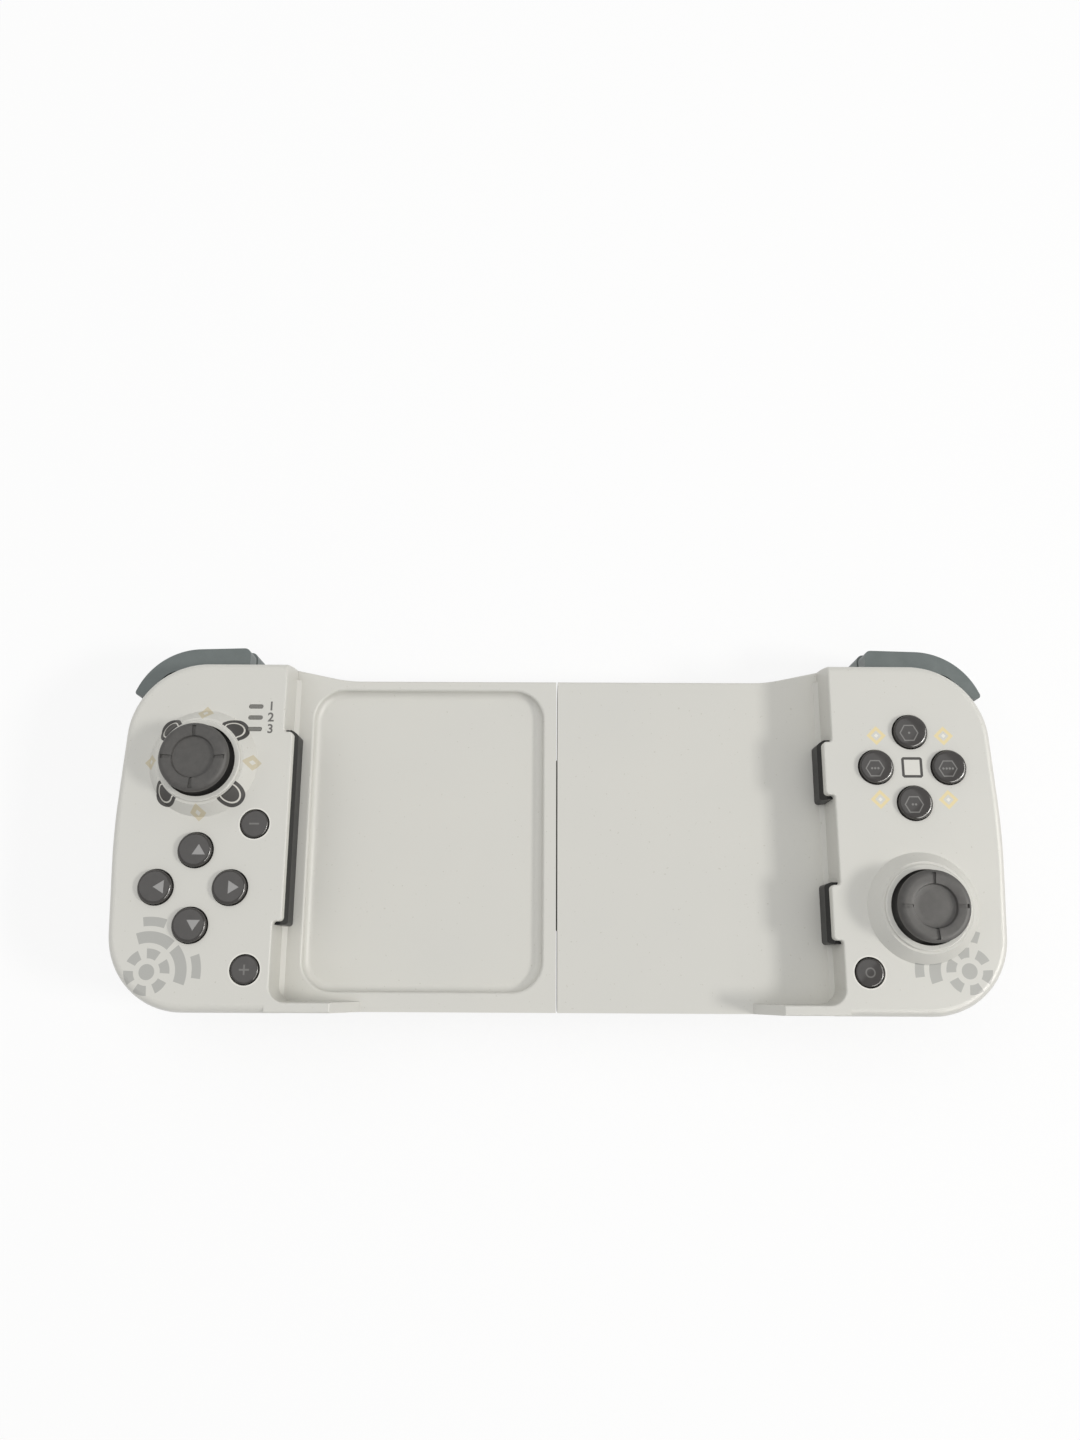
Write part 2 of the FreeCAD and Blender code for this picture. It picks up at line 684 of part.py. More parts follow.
def rear_shell(left):
    """Palm side of one grip and the underside of its tray half, as one moulding."""
    upper = PARTING_DEPTH + REVEAL / 2
    grip = loft(rear_plan(0), rear_depths(0))
    reach = 2 * GRIP_SIDE
    body = grip.fuse(rounded_tray(upper)).cut(block((0, reach), (-reach, reach), 0, upper))

    inner_depth = UNDERSIDE_DEPTH - TRAY_WALL
    hollow = loft(rear_plan(REAR_SKIN), rear_depths(REAR_SKIN))
    tray_hollow = prism(tray_plan(TRAY_WALL), PARTING_DEPTH, inner_depth)
    passage = block(
        (REAR_ROOT_X - 1, WALL_X + 2 * INNER_WALL),
        (TRAY_BOTTOM + SIDE_WALL, TRAY_TOP - SIDE_WALL), PARTING_DEPTH, inner_depth,
    )
    shell = body.cut([hollow, tray_hollow, passage, key_window(), tongue_slot()])

    board_under = BOARD_DEPTH + BOARD_THICKNESS
    added = [post(place, POST_RADIUS, board_under, upper) for place in GRIP_SCREWS]
    added += [post(place, POST_RADIUS, upper, FACE_HEIGHT).common(body) for place in GRIP_SCREWS]
    tray_foot = inner_depth + TRAY_WALL / 2
    added += [post(place, POST_RADIUS, TRAY_JOINT_DEPTH, tray_foot) for place in TRAY_SCREWS]
    added.append(block(BRACKET_X, BRACKET_Y, TRIGGER_DEPTHS[1], FACE_HEIGHT).common(body))
    if left:
        ribs = [BATTERY_Y - BATTERY_RIB_SPAN / 2, BATTERY_Y + BATTERY_RIB_SPAN / 2]
        half = BATTERY_SIZE[0] / 2
        seat = BATTERY_DEPTH + BATTERY_SIZE[2]
        x_range = (BATTERY_X - half, BATTERY_X + half)
        added += [block(x_range, (rib, rib + RIB), seat, FACE_HEIGHT).common(body) for rib in ribs]
    shell = shell.fuse(added)

    shank = SCREW_RADIUS + HEAD_CLEARANCE
    head = HEAD_RADIUS + HEAD_CLEARANCE
    removed = [post(place, shank, board_under, HEAD_SEAT_DEPTH) for place in GRIP_SCREWS]
    removed += [post(place, head, HEAD_SEAT_DEPTH, FACE_HEIGHT) for place in GRIP_SCREWS]
    removed += [post(place, shank, TRAY_JOINT_DEPTH, TRAY_SEAT_DEPTH) for place in TRAY_SCREWS]
    removed += [post(place, head, TRAY_SEAT_DEPTH, UNDERSIDE_DEPTH) for place in TRAY_SCREWS]
    if left:
        removed.append(pocket_pan(REVEAL))
    return shell.cut(removed)


def rounded_tray(upper):
    """Tray half below the parting line, with rounded lower edges."""
    tray = prism(tray_plan(0), upper, UNDERSIDE_DEPTH)
    long_edges = [
        edge for edge in tray.Edges
        if edge.BoundBox.ZMax < down(UNDERSIDE_DEPTH) + 1e-4
        and edge.BoundBox.XLength > 5
    ]
    return tray.makeFillet(UNDERSIDE_RADIUS, long_edges)


def screws():
    """Five shell screws of one half: three in the grip's posts and two in the tray."""
    group = []
    for places, seat, tip in (
        (GRIP_SCREWS, HEAD_SEAT_DEPTH, SCREW_GRIP + TIP_CLEARANCE),
        (TRAY_SCREWS, TRAY_SEAT_DEPTH, TRAY_SCREW_TOP + TIP_CLEARANCE),
    ):
        for place in places:
            shank = post(place, SCREW_RADIUS, tip, seat)
            group.append(shank.fuse(post(place, HEAD_RADIUS, seat, seat + HEAD_HEIGHT)))
    return Part.makeCompound(group)


def pad(span):
    """Rubber pad under a tab: sloped above, upright below, standing on the tray floor."""
    low, high = span
    corners = [
        (PAD_FACE_X, low, PAD_CORNER_RADIUS),
        (WALL_X, low, 0),
        (WALL_X, high, 0),
        (PAD_FACE_X, high, PAD_CORNER_RADIUS),
    ]
    slope = [
        V(PAD_FACE_X - 1, low, down(TAB_THICKNESS)),
        V(PAD_FACE_X + PAD_SLOPE, low, down(TAB_THICKNESS)),
        V(PAD_FACE_X, low, down(TAB_THICKNESS + PAD_SLOPE_DEPTH)),
        V(PAD_FACE_X - 1, low, down(TAB_THICKNESS + PAD_SLOPE_DEPTH)),
    ]
    wedge = Part.Face(Part.makePolygon(slope + slope[:1])).extrude(V(0, high - low, 0))
    return prism(corners, TAB_THICKNESS, FLOOR_DEPTH).cut(wedge)


def button(place, radius, height, shoulder):
    """Domed round button with a flange under the shell and a short plunger."""
    flange_top = -SKIN - HOLE_CLEARANCE
    flange_foot = flange_top - FLANGE_THICKNESS
    flange = radius + FLANGE_WIDTH
    crown = shoulder / 2
    edge = shoulder / 2
    foot = height - shoulder
    corner = edge * math.sin(math.pi / 4)
    dome_foot = radius - edge
    ball = (dome_foot ** 2 + crown ** 2) / (2 * crown)
    half_turn = math.asin(dome_foot / ball) / 2
    profile = [
        (0, flange_foot - PLUNGER_LENGTH),
        (PLUNGER_RADIUS, flange_foot - PLUNGER_LENGTH),
        (PLUNGER_RADIUS, flange_foot),
        (flange, flange_foot),
        (flange, flange_top),
        (radius, flange_top),
        (radius, foot),
        (dome_foot, foot + edge, dome_foot + corner, foot + corner),
        (0, height, ball * math.sin(half_turn), height - ball * (1 - math.cos(half_turn))),
    ]
    return turned(profile, place, down(0))


def wall_relief(place):
    """Space that keeps a small button's flange off the inner wall."""
    half = SMALL_BUTTON_RADIUS + FLANGE_WIDTH
    x_range = (place[0] - 2 * half, WALL_X + INNER_WALL + HOLE_CLEARANCE)
    return block(x_range, (place[1] - half, place[1] + half), SKIN, BOARD_DEPTH)


def dome_mat(centre, radius, small):
    """Silicone mat on the board with one hollow-looking dome under every button."""
    plate_top = BOARD_DEPTH - MAT_THICKNESS
    dome_top = SKIN + HOLE_CLEARANCE + FLANGE_THICKNESS + PLUNGER_LENGTH + HOLE_CLEARANCE
    places = list(cross_places(centre, radius).values()) + list(small.values())
    plate = post(centre, radius + MAT_MARGIN, plate_top, BOARD_DEPTH)
    pieces = []
    for x, y in small.values():
        pieces.append(post((x, y), MAT_DOME_FOOT, plate_top, BOARD_DEPTH))
        bridge_y = (min(y, centre[1]), max(y, centre[1]))
        pieces.append(block((x - MAT_BRIDGE / 2, x + MAT_BRIDGE / 2), bridge_y, plate_top, BOARD_DEPTH))
    for place in places:
        dome = Part.makeCone(MAT_DOME_FOOT, MAT_DOME_TOP, plate_top - dome_top,
                             V(place[0], place[1], down(plate_top)))
        pieces.append(dome)
    return plate.fuse(pieces)


def board(stick):
    """Circuit board of one grip, notched around the stick module and the shoulder keys."""
    plan = front_plan(SIDE_WALL + BOARD_GAP, WALL_X + INNER_WALL + BOARD_GAP)(BOARD_DEPTH)
    lower = BOARD_DEPTH + BOARD_THICKNESS
    notch = MODULE_HALF + HOLE_CLEARANCE
    x, y = stick
    module = rectangle((x - notch, x + notch), (y - notch, y + notch), MODULE_CORNER)
    removed = [prism(module, BOARD_DEPTH, lower)]
    removed.append(block((KEY_INNER_X - 1, KEY_OUTER_X), (WINDOW_END_Y, KEY_TOP), BOARD_DEPTH, lower))
    removed += [post(place, SCREW_RADIUS + HEAD_CLEARANCE, BOARD_DEPTH, lower) for place in GRIP_SCREWS]
    return prism(plan, BOARD_DEPTH, lower).cut(removed)


def light_guide():
    """Clear moulding with three windows, a bar and a leg down to the lamps on the board."""
    bar_x = (LAMP_X - LAMP_LENGTH / 2, LAMP_X + LAMP_LENGTH / 2)
    bar_y = (LAMP_ROWS[0] - LAMP_WIDTH, LAMP_ROWS[-1] + LAMP_WIDTH)
    bar = block(bar_x, bar_y, SKIN, SKIN + GUIDE_BAR)
    leg_x = (LAMP_X - GUIDE_BAR / 2, LAMP_X + GUIDE_BAR / 2)
    leg = block(leg_x, bar_y, SKIN + GUIDE_BAR, BOARD_DEPTH)
    windows = [prism(lamp_slot(row, LAMP_CLEARANCE), LAMP_CLEARANCE, SKIN) for row in LAMP_ROWS]
    return bar.fuse([leg] + windows)


def battery():
    """Flat cell that lies on two ribs of the left rear shell."""
    length_x, length_y, height = BATTERY_SIZE
    x_range = (BATTERY_X - length_x / 2, BATTERY_X + length_x / 2)
    y_range = (BATTERY_Y - length_y / 2, BATTERY_Y + length_y / 2)
    return prism(rectangle(x_range, y_range, BATTERY_CORNER), BATTERY_DEPTH, BATTERY_DEPTH + height)


def about_pivot(shape, stick):
    """Place a stick piece that was drawn with its pivot at the origin."""
    return shape.translated(V(stick[0], stick[1], down(PIVOT_DEPTH)))


def trunnions(direction, radius, inner, outer):
    """Two round pins on one axis through the pivot."""
    return [Part.makeCylinder(radius, outer - inner, direction * inner * side, direction * side)
            for side in (1, -1)]


def stick_housing(stick):
    """Open box of the stick module, with journals for the ring and two feet on the board."""
    half, inner = MODULE_HALF, MODULE_HALF - MODULE_WALL
    top, bottom = PIVOT_DEPTH - MODULE_TOP, PIVOT_DEPTH + MODULE_BOTTOM
    outside = prism(rectangle((-half, half), (-half, half), MODULE_CORNER), top, bottom)
    corner = MODULE_CORNER - MODULE_WALL
    inside = prism(rectangle((-inner, inner), (-inner, inner), corner), top, bottom - MODULE_BASE)
    foot_y = (inner, half + EAR_REACH)
    feet = [block((-EAR_WIDTH / 2, EAR_WIDTH / 2), span, BOARD_DEPTH - EAR_THICKNESS, BOARD_DEPTH)
            for span in (foot_y, (-foot_y[1], -foot_y[0]))]
    box = outside.fuse(feet).cut(inside).translated(V(stick[0], stick[1], 0))
    journals = trunnions(V(1, 0, 0), TRUNNION_RADIUS + RUNNING_CLEARANCE, inner - 1, half + 1)
    return box.cut([about_pivot(journal, stick) for journal in journals])


def stick_yoke(stick):
    """Ring that rocks in the housing and carries the rocker."""
    profile = [
        (RING_INNER, -RING_HALF_HEIGHT), (RING_OUTER, -RING_HALF_HEIGHT),
        (RING_OUTER, RING_HALF_HEIGHT), (RING_INNER, RING_HALF_HEIGHT),
    ]
    ring = turned(profile, (0, 0), 0)
    ring = ring.fuse(trunnions(V(1, 0, 0), TRUNNION_RADIUS, RING_OUTER - TRUNNION_SINK, MODULE_HALF))
    bores = trunnions(V(0, 1, 0), TRUNNION_RADIUS + RUNNING_CLEARANCE, RING_INNER - 1, RING_OUTER + 1)
    return about_pivot(ring.cut(bores), stick)


def stick_rocker(stick):
    """Rocker in the ring, bored for the stem."""
    height = 2 * ROCKER_HALF_HEIGHT
    body = Part.makeCylinder(ROCKER_RADIUS, height, V(0, 0, -ROCKER_HALF_HEIGHT))
    body = body.fuse(trunnions(V(0, 1, 0), TRUNNION_RADIUS, ROCKER_RADIUS - TRUNNION_SINK, RING_OUTER))
    bore = Part.makeCylinder(STEM_RADIUS + RUNNING_CLEARANCE, height, V(0, 0, -ROCKER_HALF_HEIGHT))
    return about_pivot(body.cut(bore), stick)


def stick_stem(stick):
    """Post that slides in the rocker when the stick is pressed, with a foot below it."""
    tip = CAP_TOP - CAP_DISH_DEPTH - SOCKET_WALL
    foot_top = -ROCKER_HALF_HEIGHT - RUNNING_CLEARANCE
    foot = STEM_RADIUS + STEM_FOOT_RIM
    profile = [
        (0, -STEM_FOOT), (foot, -STEM_FOOT), (foot, foot_top),
        (STEM_RADIUS, foot_top), (STEM_RADIUS, tip), (0, tip),
    ]
    return about_pivot(turned(profile, (0, 0), 0), stick)


def on_sphere(radius, angle):
    """Profile point on a ball about the pivot, at an angle from upright."""
    turn = math.radians(angle)
    return (radius * math.sin(turn), radius * math.cos(turn))


def stick_cap(stick):
    """Stick cap: dished disc with a raised edge, neck, and a skirt that closes the cone's mouth."""
    inner_ball = SKIRT_RADIUS - SKIRT_WALL
    socket = STEM_RADIUS + SOCKET_WALL
    neck_angle = math.degrees(math.asin(NECK_RADIUS / SKIRT_RADIUS))
    socket_angle = math.degrees(math.asin(socket / inner_ball))
    tip = CAP_TOP - CAP_DISH_DEPTH - SOCKET_WALL
    outer_middle = on_sphere(SKIRT_RADIUS, (SKIRT_ANGLE + neck_angle) / 2)
    inner_middle = on_sphere(inner_ball, (SKIRT_ANGLE + socket_angle) / 2)
    overhang = CAP_RADIUS - CAP_TOP_RADIUS
    round_x = CAP_TOP_RADIUS + overhang * math.sin(math.pi / 4)
    round_z = CAP_TOP - CAP_SHOULDER * (1 - math.cos(math.pi / 4))
    profile = [
        (0, tip),
        (0, CAP_TOP - CAP_DISH_DEPTH),
        (CAP_DISH_RADIUS - CAP_BEVEL, CAP_TOP - CAP_DISH_DEPTH),
        (CAP_DISH_RADIUS + CAP_BEVEL, CAP_TOP),
        (CAP_TOP_RADIUS, CAP_TOP),
        (CAP_RADIUS, CAP_TOP - CAP_SHOULDER, round_x, round_z),
        (CAP_RADIUS - CAP_EDGE_DRAFT, CAP_EDGE_HEIGHT),
        (NECK_RADIUS + NECK_FLARE, CAP_EDGE_HEIGHT + CAP_UNDER_RISE),
        (NECK_RADIUS, CAP_EDGE_HEIGHT),
        on_sphere(SKIRT_RADIUS, neck_angle),
        on_sphere(SKIRT_RADIUS, SKIRT_ANGLE) + outer_middle,
        on_sphere(inner_ball, SKIRT_ANGLE),
        on_sphere(inner_ball, socket_angle) + inner_middle,
        (socket, inner_ball - SOCKET_REACH),
        (STEM_RADIUS, inner_ball - SOCKET_REACH),
        (STEM_RADIUS, tip),
    ]
    cap = turned(profile, (0, 0), 0).cut(cap_ticks())
    return about_pivot(cap, stick)


def cap_ticks():
    """Four short grooves that run outwards from the dish of a stick cap."""
    length, width, depth = CAP_TICK
    start = CAP_DISH_RADIUS + CAP_BEVEL
    tick = Part.makeBox(length, width, 2 * depth, V(start, -width / 2, CAP_TOP - depth))
    ticks = []
    for turn in (0, 90, 180, 270):
        copy = tick.copy()
        copy.rotate(V(0, 0, 0), V(0, 0, 1), turn)
        ticks.append(copy)
    return ticks


def key_plan(setback):
    """Outline of a shoulder key: outer curve round the grip's corner and a straight back."""
    shoulder_x = KEY_SHOULDER[0] - setback
    top = KEY_TOP - setback
    outer_x = KEY_OUTER_X - setback
    return [
        (KEY_INNER_X, KEY_BACK_Y, KEY_ROUNDINGS["root"]),
        (shoulder_x - KEY_END_WIDTH, KEY_BACK_Y, KEY_ROUNDINGS["back"]),
        (outer_x - KEY_END_WIDTH, KEY_END_Y, KEY_ROUNDINGS["tip"]),
        (outer_x, KEY_END_Y, KEY_ROUNDINGS["tip"]),
        (shoulder_x, top - KEY_SHOULDER[1], KEY_RADIUS - setback),
        (KEY_INNER_X, top, KEY_ROUNDINGS["top"]),
    ]


def key_hollow(setback, depths):
    """Space inside a shoulder key, open at the back."""
    shoulder_x = KEY_SHOULDER[0] - setback
    top = KEY_TOP - setback - KEY_WALL
    run = (KEY_OUTER_X - KEY_SHOULDER[0]) / (KEY_TOP - KEY_SHOULDER[1] - KEY_END_Y)
    wall_x = KEY_WALL * math.sqrt(1 + run ** 2)
    back_y = KEY_END_Y - KEY_WALL
    end_x = KEY_OUTER_X - setback - wall_x - run * (back_y - KEY_END_Y)
    inner_x = KEY_INNER_X + KEY_WALL
    corners = [
        (inner_x, back_y, 0),
        (end_x, back_y, 0),
        (shoulder_x - wall_x + run * KEY_WALL, top - KEY_SHOULDER[1], KEY_RADIUS - setback - KEY_WALL),
        (inner_x, top, 0),
    ]
    return prism(corners, depths[0] + KEY_FLANGE, depths[1] - KEY_FLANGE)


def nib(depth, setback):
    """Small block inside a key that meets its switch."""
    x_range = (SWITCH_X - NIB_WIDTH / 2, SWITCH_X + NIB_WIDTH / 2)
    y_range = (NIB_END_Y, KEY_TOP - setback - KEY_WALL / 2 - KEY_SHOULDER[1])
    return block(x_range, y_range, depth - NIB_HEIGHT / 2, depth + NIB_HEIGHT / 2)


def bumper():
    """Front shoulder key, turning on an upright pin at its inner end."""
    upper, lower = BUMPER_DEPTHS
    body = prism(key_plan(BUMPER_SETBACK), upper, lower).cut(key_hollow(BUMPER_SETBACK, BUMPER_DEPTHS))
    arm = BARREL_RADIUS - BARREL_SETBACK
    arm_x = (BUMPER_PIN[0] - arm, BUMPER_PIN[0] + arm)
    arm_y = (BUMPER_PIN[1], KEY_TOP - BUMPER_SETBACK - KEY_WALL / 2)
    body = body.fuse([
        block(arm_x, arm_y, upper, lower),
        post(BUMPER_PIN, BARREL_RADIUS, upper, lower),
        nib(BUMPER_SWITCH_DEPTH, BUMPER_SETBACK),
    ])
    return body.cut(post(BUMPER_PIN, PIN_RADIUS + RUNNING_CLEARANCE, upper, lower))


def across(x_range, radius):
    """Round bar or bore along the trigger's pin."""
    start = V(x_range[0], TRIGGER_PIN_Y, down(TRIGGER_PIN_DEPTH))
    return Part.makeCylinder(radius, x_range[1] - x_range[0], start, V(1, 0, 0))


def trigger_ears():
    """Two x ranges of the trigger's hinge ears, inside the bracket's lugs."""
    low = BRACKET_X[0] + LUG + EAR_GAP
    high = BRACKET_X[1] - LUG - EAR_GAP
    return [(low, low + EAR), (high - EAR, high)]


def trigger():
    """Rear shoulder key, turning on a pin that lies along the grip's top edge."""
    upper, lower = TRIGGER_DEPTHS
    body = prism(key_plan(0), upper, lower).cut(key_hollow(0, TRIGGER_DEPTHS))
    ear_half = BARREL_RADIUS - BARREL_SETBACK
    pieces = [nib(TRIGGER_SWITCH_DEPTH, 0)]
    for ear in trigger_ears():
        pieces.append(across(ear, BARREL_RADIUS))
        reach = (TRIGGER_PIN_Y, KEY_TOP - 2 * KEY_WALL)
        pieces.append(block(ear, reach, TRIGGER_PIN_DEPTH - ear_half, TRIGGER_PIN_DEPTH + ear_half))
    bore = across((KEY_INNER_X, KEY_OUTER_X - KEY_END_WIDTH), PIN_RADIUS + RUNNING_CLEARANCE)
    return body.fuse(pieces).cut(bore)


def shoulder_bracket():
    """Upright plate inside the grip with lugs for both hinge pins."""
    upper_lug = (BUMPER_DEPTHS[0] - EAR_GAP - LUG, BUMPER_DEPTHS[0] - EAR_GAP)
    lower_lug = (BUMPER_DEPTHS[1] + EAR_GAP, TRIGGER_DEPTHS[0] - EAR_GAP)
    plate = block(BRACKET_X, BRACKET_Y, upper_lug[0], TRIGGER_DEPTHS[1])
    x, y = BUMPER_PIN
    pieces = []
    for lug in (upper_lug, lower_lug):
        pieces.append(block((x - BARREL_RADIUS, x + BARREL_RADIUS), (BRACKET_Y[0], y), *lug))
        pieces.append(post(BUMPER_PIN, BARREL_RADIUS, *lug))
    low, high = BRACKET_X
    for lug_x in ((low, low + LUG), (high - LUG, high)):
        pieces.append(across(lug_x, BARREL_RADIUS))
        pieces.append(block(lug_x, (BRACKET_Y[0], TRIGGER_PIN_Y),
                            TRIGGER_PIN_DEPTH - BARREL_RADIUS, TRIGGER_PIN_DEPTH + BARREL_RADIUS))
    bores = [post(BUMPER_PIN, PIN_RADIUS, *upper_lug), post(BUMPER_PIN, PIN_RADIUS, *lower_lug)]
    return plate.fuse(pieces).cut(bores + [across(BRACKET_X, PIN_RADIUS)])


def shoulder_pins():
    """Hinge pins of the bumper and the trigger."""
    upper = BUMPER_DEPTHS[0] - EAR_GAP - LUG
    return Part.makeCompound([
        post(BUMPER_PIN, PIN_RADIUS, upper, TRIGGER_DEPTHS[0] - EAR_GAP),
        across(BRACKET_X, PIN_RADIUS),
    ])


def shoulder_switches():
    """Two small switches on the bracket, behind the keys' nibs."""
    x_range = (SWITCH_X - SWITCH_SIZE / 2, SWITCH_X + SWITCH_SIZE / 2)
    half = SWITCH_HEIGHT / 2
    switches = []
    for depth in (BUMPER_SWITCH_DEPTH, TRIGGER_SWITCH_DEPTH):
        case = block(x_range, (BRACKET_Y[1], SWITCH_Y - PLUNGER_SIZE), depth - half, depth + half)
        plunger_x = (SWITCH_X - PLUNGER_SIZE, SWITCH_X + PLUNGER_SIZE)
        plunger = block(plunger_x, (SWITCH_Y - PLUNGER_SIZE, SWITCH_Y), depth - half / 2, depth + half / 2)
        switches.append(case.fuse(plunger))
    return Part.makeCompound(switches)


def swept(path, wire_radius):
    """Round wire along a path of tangent edges."""
    start = path.OrderedVertexes[0].Point
    first = path.OrderedEdges[0]
    tangent = first.tangentAt(first.FirstParameter)
    section = Part.Wire(Part.makeCircle(wire_radius, start, tangent))
    return path.makePipeShell([section], True, True)


def trigger_spring():
    """Torsion spring on the trigger's pin, with a leg on the bracket and one on the trigger."""
    turns = COIL_TURNS + COIL_END_ANGLE / 360
    height = COIL_PITCH * turns
    helix = Part.makeHelix(COIL_PITCH, height, COIL_RADIUS)
    coil = helix.Edges
    first, last = coil[0], coil[-1]
    start = first.valueAt(first.FirstParameter)
    end = last.valueAt(last.LastParameter)
    start_leg = Part.makeLine(start - first.tangentAt(first.FirstParameter) * COIL_LEG / 2, start)
    end_leg = Part.makeLine(end, end + last.tangentAt(last.LastParameter) * COIL_LEG)
    spring = swept(Part.Wire([start_leg] + coil + [end_leg]), COIL_WIRE)
    spring.Placement = FreeCAD.Placement(
        V(COIL_X, TRIGGER_PIN_Y, down(TRIGGER_PIN_DEPTH)),
        FreeCAD.Rotation(V(0, -1, 0), V(0, 0, -1), V(1, 0, 0)),
    )
    return spring


def guide_rail(side):
    """Channel under the left tray floor that one edge of the tongue runs in."""
    upper, _, _, lower = tongue_depths()
    inner = TONGUE_HALF_WIDTH + SLIDE_CLEARANCE
    web = (inner, inner + RAIL_WALL)
    lap = (inner - RAIL_LAP, inner + RAIL_WALL)
    x_range = (RAIL_LEFT_X, RAIL_RIGHT_X)
    top = upper - SLIDE_CLEARANCE - RAIL_FLANGE
    bottom = UNDERSIDE_DEPTH - TRAY_WALL
    rail = block(x_range, web, top, bottom).fuse([
        block(x_range, lap, top, upper - SLIDE_CLEARANCE),
        block(x_range, lap, lower + SLIDE_CLEARANCE, bottom),
    ])
    return rail if side > 0 else rail.mirror(V(0, 0, 0), V(0, 1, 0))


def slide_tongue():
    """Channel that carries the right half and runs in the left half's rails."""
    upper, plate, cover, _ = tongue_depths()
    x_range = (TONGUE_LEFT_X, TONGUE_RIGHT_X)
    half = TONGUE_HALF_WIDTH
    pieces = [
        block(x_range, (half - TONGUE_WALL, half), upper, cover),
        block(x_range, (-half, -half + TONGUE_WALL), upper, cover),
    ]
    pieces += [post((SPRING_RIGHT_X, side * SPRING_Y), PEG_RADIUS, upper, cover) for side in (-1, 1)]
    return block(x_range, (-half, half), upper, plate).fuse(pieces)


def tongue_cover():
    """Thin plate that closes the tongue from below."""
    _, _, upper, lower = tongue_depths()
    x_range = (TONGUE_LEFT_X, TONGUE_RIGHT_X)
    return block(x_range, (-TONGUE_HALF_WIDTH, TONGUE_HALF_WIDTH), upper, lower)


def return_spring(side):
    """Long coil spring inside the tongue, between a peg of each half."""
    _, plate, _, _ = tongue_depths()
    gap = PEG_RADIUS + 2 * SPRING_WIRE
    start, end = SPRING_LEFT_X + gap, SPRING_RIGHT_X - gap
    helix = Part.makeHelix((end - start) / SPRING_TURNS, end - start, SPRING_RADIUS)
    spring = swept(Part.Wire(helix.Edges), SPRING_WIRE)
    spring.rotate(V(0, 0, 0), V(0, 1, 0), 90)
    return spring.translated(V(start, side * SPRING_Y, down(plate + TONGUE_INSIDE / 2)))


def ribbon_cable():
    """Flat cable from one board to the other, folded inside the tongue."""
    _, plate, _, _ = tongue_depths()
    middle = plate + TONGUE_INSIDE / 2
    plug_depth = BOARD_DEPTH + BOARD_THICKNESS + CABLE_THICKNESS
    right_fold, left_fold = CABLE_FOLDS
    points = [
        (-CABLE_PLUG_X, plug_depth),
        (-CABLE_DROP_X, plug_depth),
        (-CABLE_DROP_X, middle + CABLE_SPACING),
        (right_fold, middle + CABLE_SPACING),
        (right_fold, middle),
        (left_fold, middle),
        (left_fold, middle - CABLE_SPACING),
        (CABLE_DROP_X, middle - CABLE_SPACING),
        (CABLE_DROP_X, plug_depth),
        (CABLE_PLUG_X, plug_depth),
    ]
    half = CABLE_THICKNESS / 2
    return ribbon([V(x, 0, down(depth)) for x, depth in points], half)


def ribbon(points, half):
    """Flat strip of a route in the XZ plane: straight walls joined by concentric bends."""
    pieces = []
    legs = []
    for start, corner in zip(points, points[1:]):
        legs.append([start, corner])
    for index in range(len(legs) - 1):
        corner = points[index + 1]
        back = (points[index] - corner).normalize()
        ahead = (points[index + 2] - corner).normalize()
        legs[index][1] = corner + back * CABLE_BEND
        legs[index + 1][0] = corner + ahead * CABLE_BEND
        centre = corner + (back + ahead) * CABLE_BEND
        ring = Part.makeCylinder(CABLE_BEND + half, CABLE_WIDTH, centre, V(0, 1, 0))
        ring = ring.cut(Part.makeCylinder(CABLE_BEND - half, CABLE_WIDTH, centre, V(0, 1, 0)))
        far = corner - (back + ahead) * half * 2
        low = V(min(centre.x, far.x), 0, min(centre.z, far.z))
        size = abs(centre.x - far.x)
        pieces.append(ring.common(Part.makeBox(size, CABLE_WIDTH, size, low)))
    for start, end in legs:
        low = V(min(start.x, end.x), 0, min(start.z, end.z))
        high = V(max(start.x, end.x), 0, max(start.z, end.z))
        along_x = abs(end.x - start.x) > abs(end.z - start.z)
        spread = V(0, 0, half) if along_x else V(half, 0, 0)
        size = high - low + spread * 2
        pieces.append(Part.makeBox(size.x, CABLE_WIDTH, size.z, low - spread))
    strip = pieces[0].fuse(pieces[1:]).removeSplitter()
    return strip.translated(V(0, -CABLE_WIDTH / 2, 0))


def bar_along_y(width, height, centre_x, centre_depth, y_range, radius):
    """Rounded bar or hole that runs along Y."""
    corners = rectangle((-width / 2, width / 2), (-height / 2, height / 2), radius)
    bar = Part.Face(outline(corners, FACE_HEIGHT)).extrude(V(0, 0, y_range[1] - y_range[0]))
    bar.rotate(V(0, 0, 0), V(1, 0, 0), 90)
    return bar.translated(V(centre_x, y_range[1], down(centre_depth)))


def socket_depth():
    """Depth of the charging socket's axis, under the board."""
    return BOARD_DEPTH + BOARD_THICKNESS + SOCKET_HEIGHT / 2


def socket_opening():
    """Hole in the lower wall of the right grip for the charging socket."""
    width, height = SOCKET_WIDTH + 2 * LAMP_CLEARANCE, SOCKET_HEIGHT + 2 * LAMP_CLEARANCE
    y_range = (SOCKET_OUTER_Y - 2, SOCKET_OUTER_Y + SIDE_WALL + 1)
    return bar_along_y(width, height, SOCKET_X, socket_depth(), y_range, 0.49 * height)


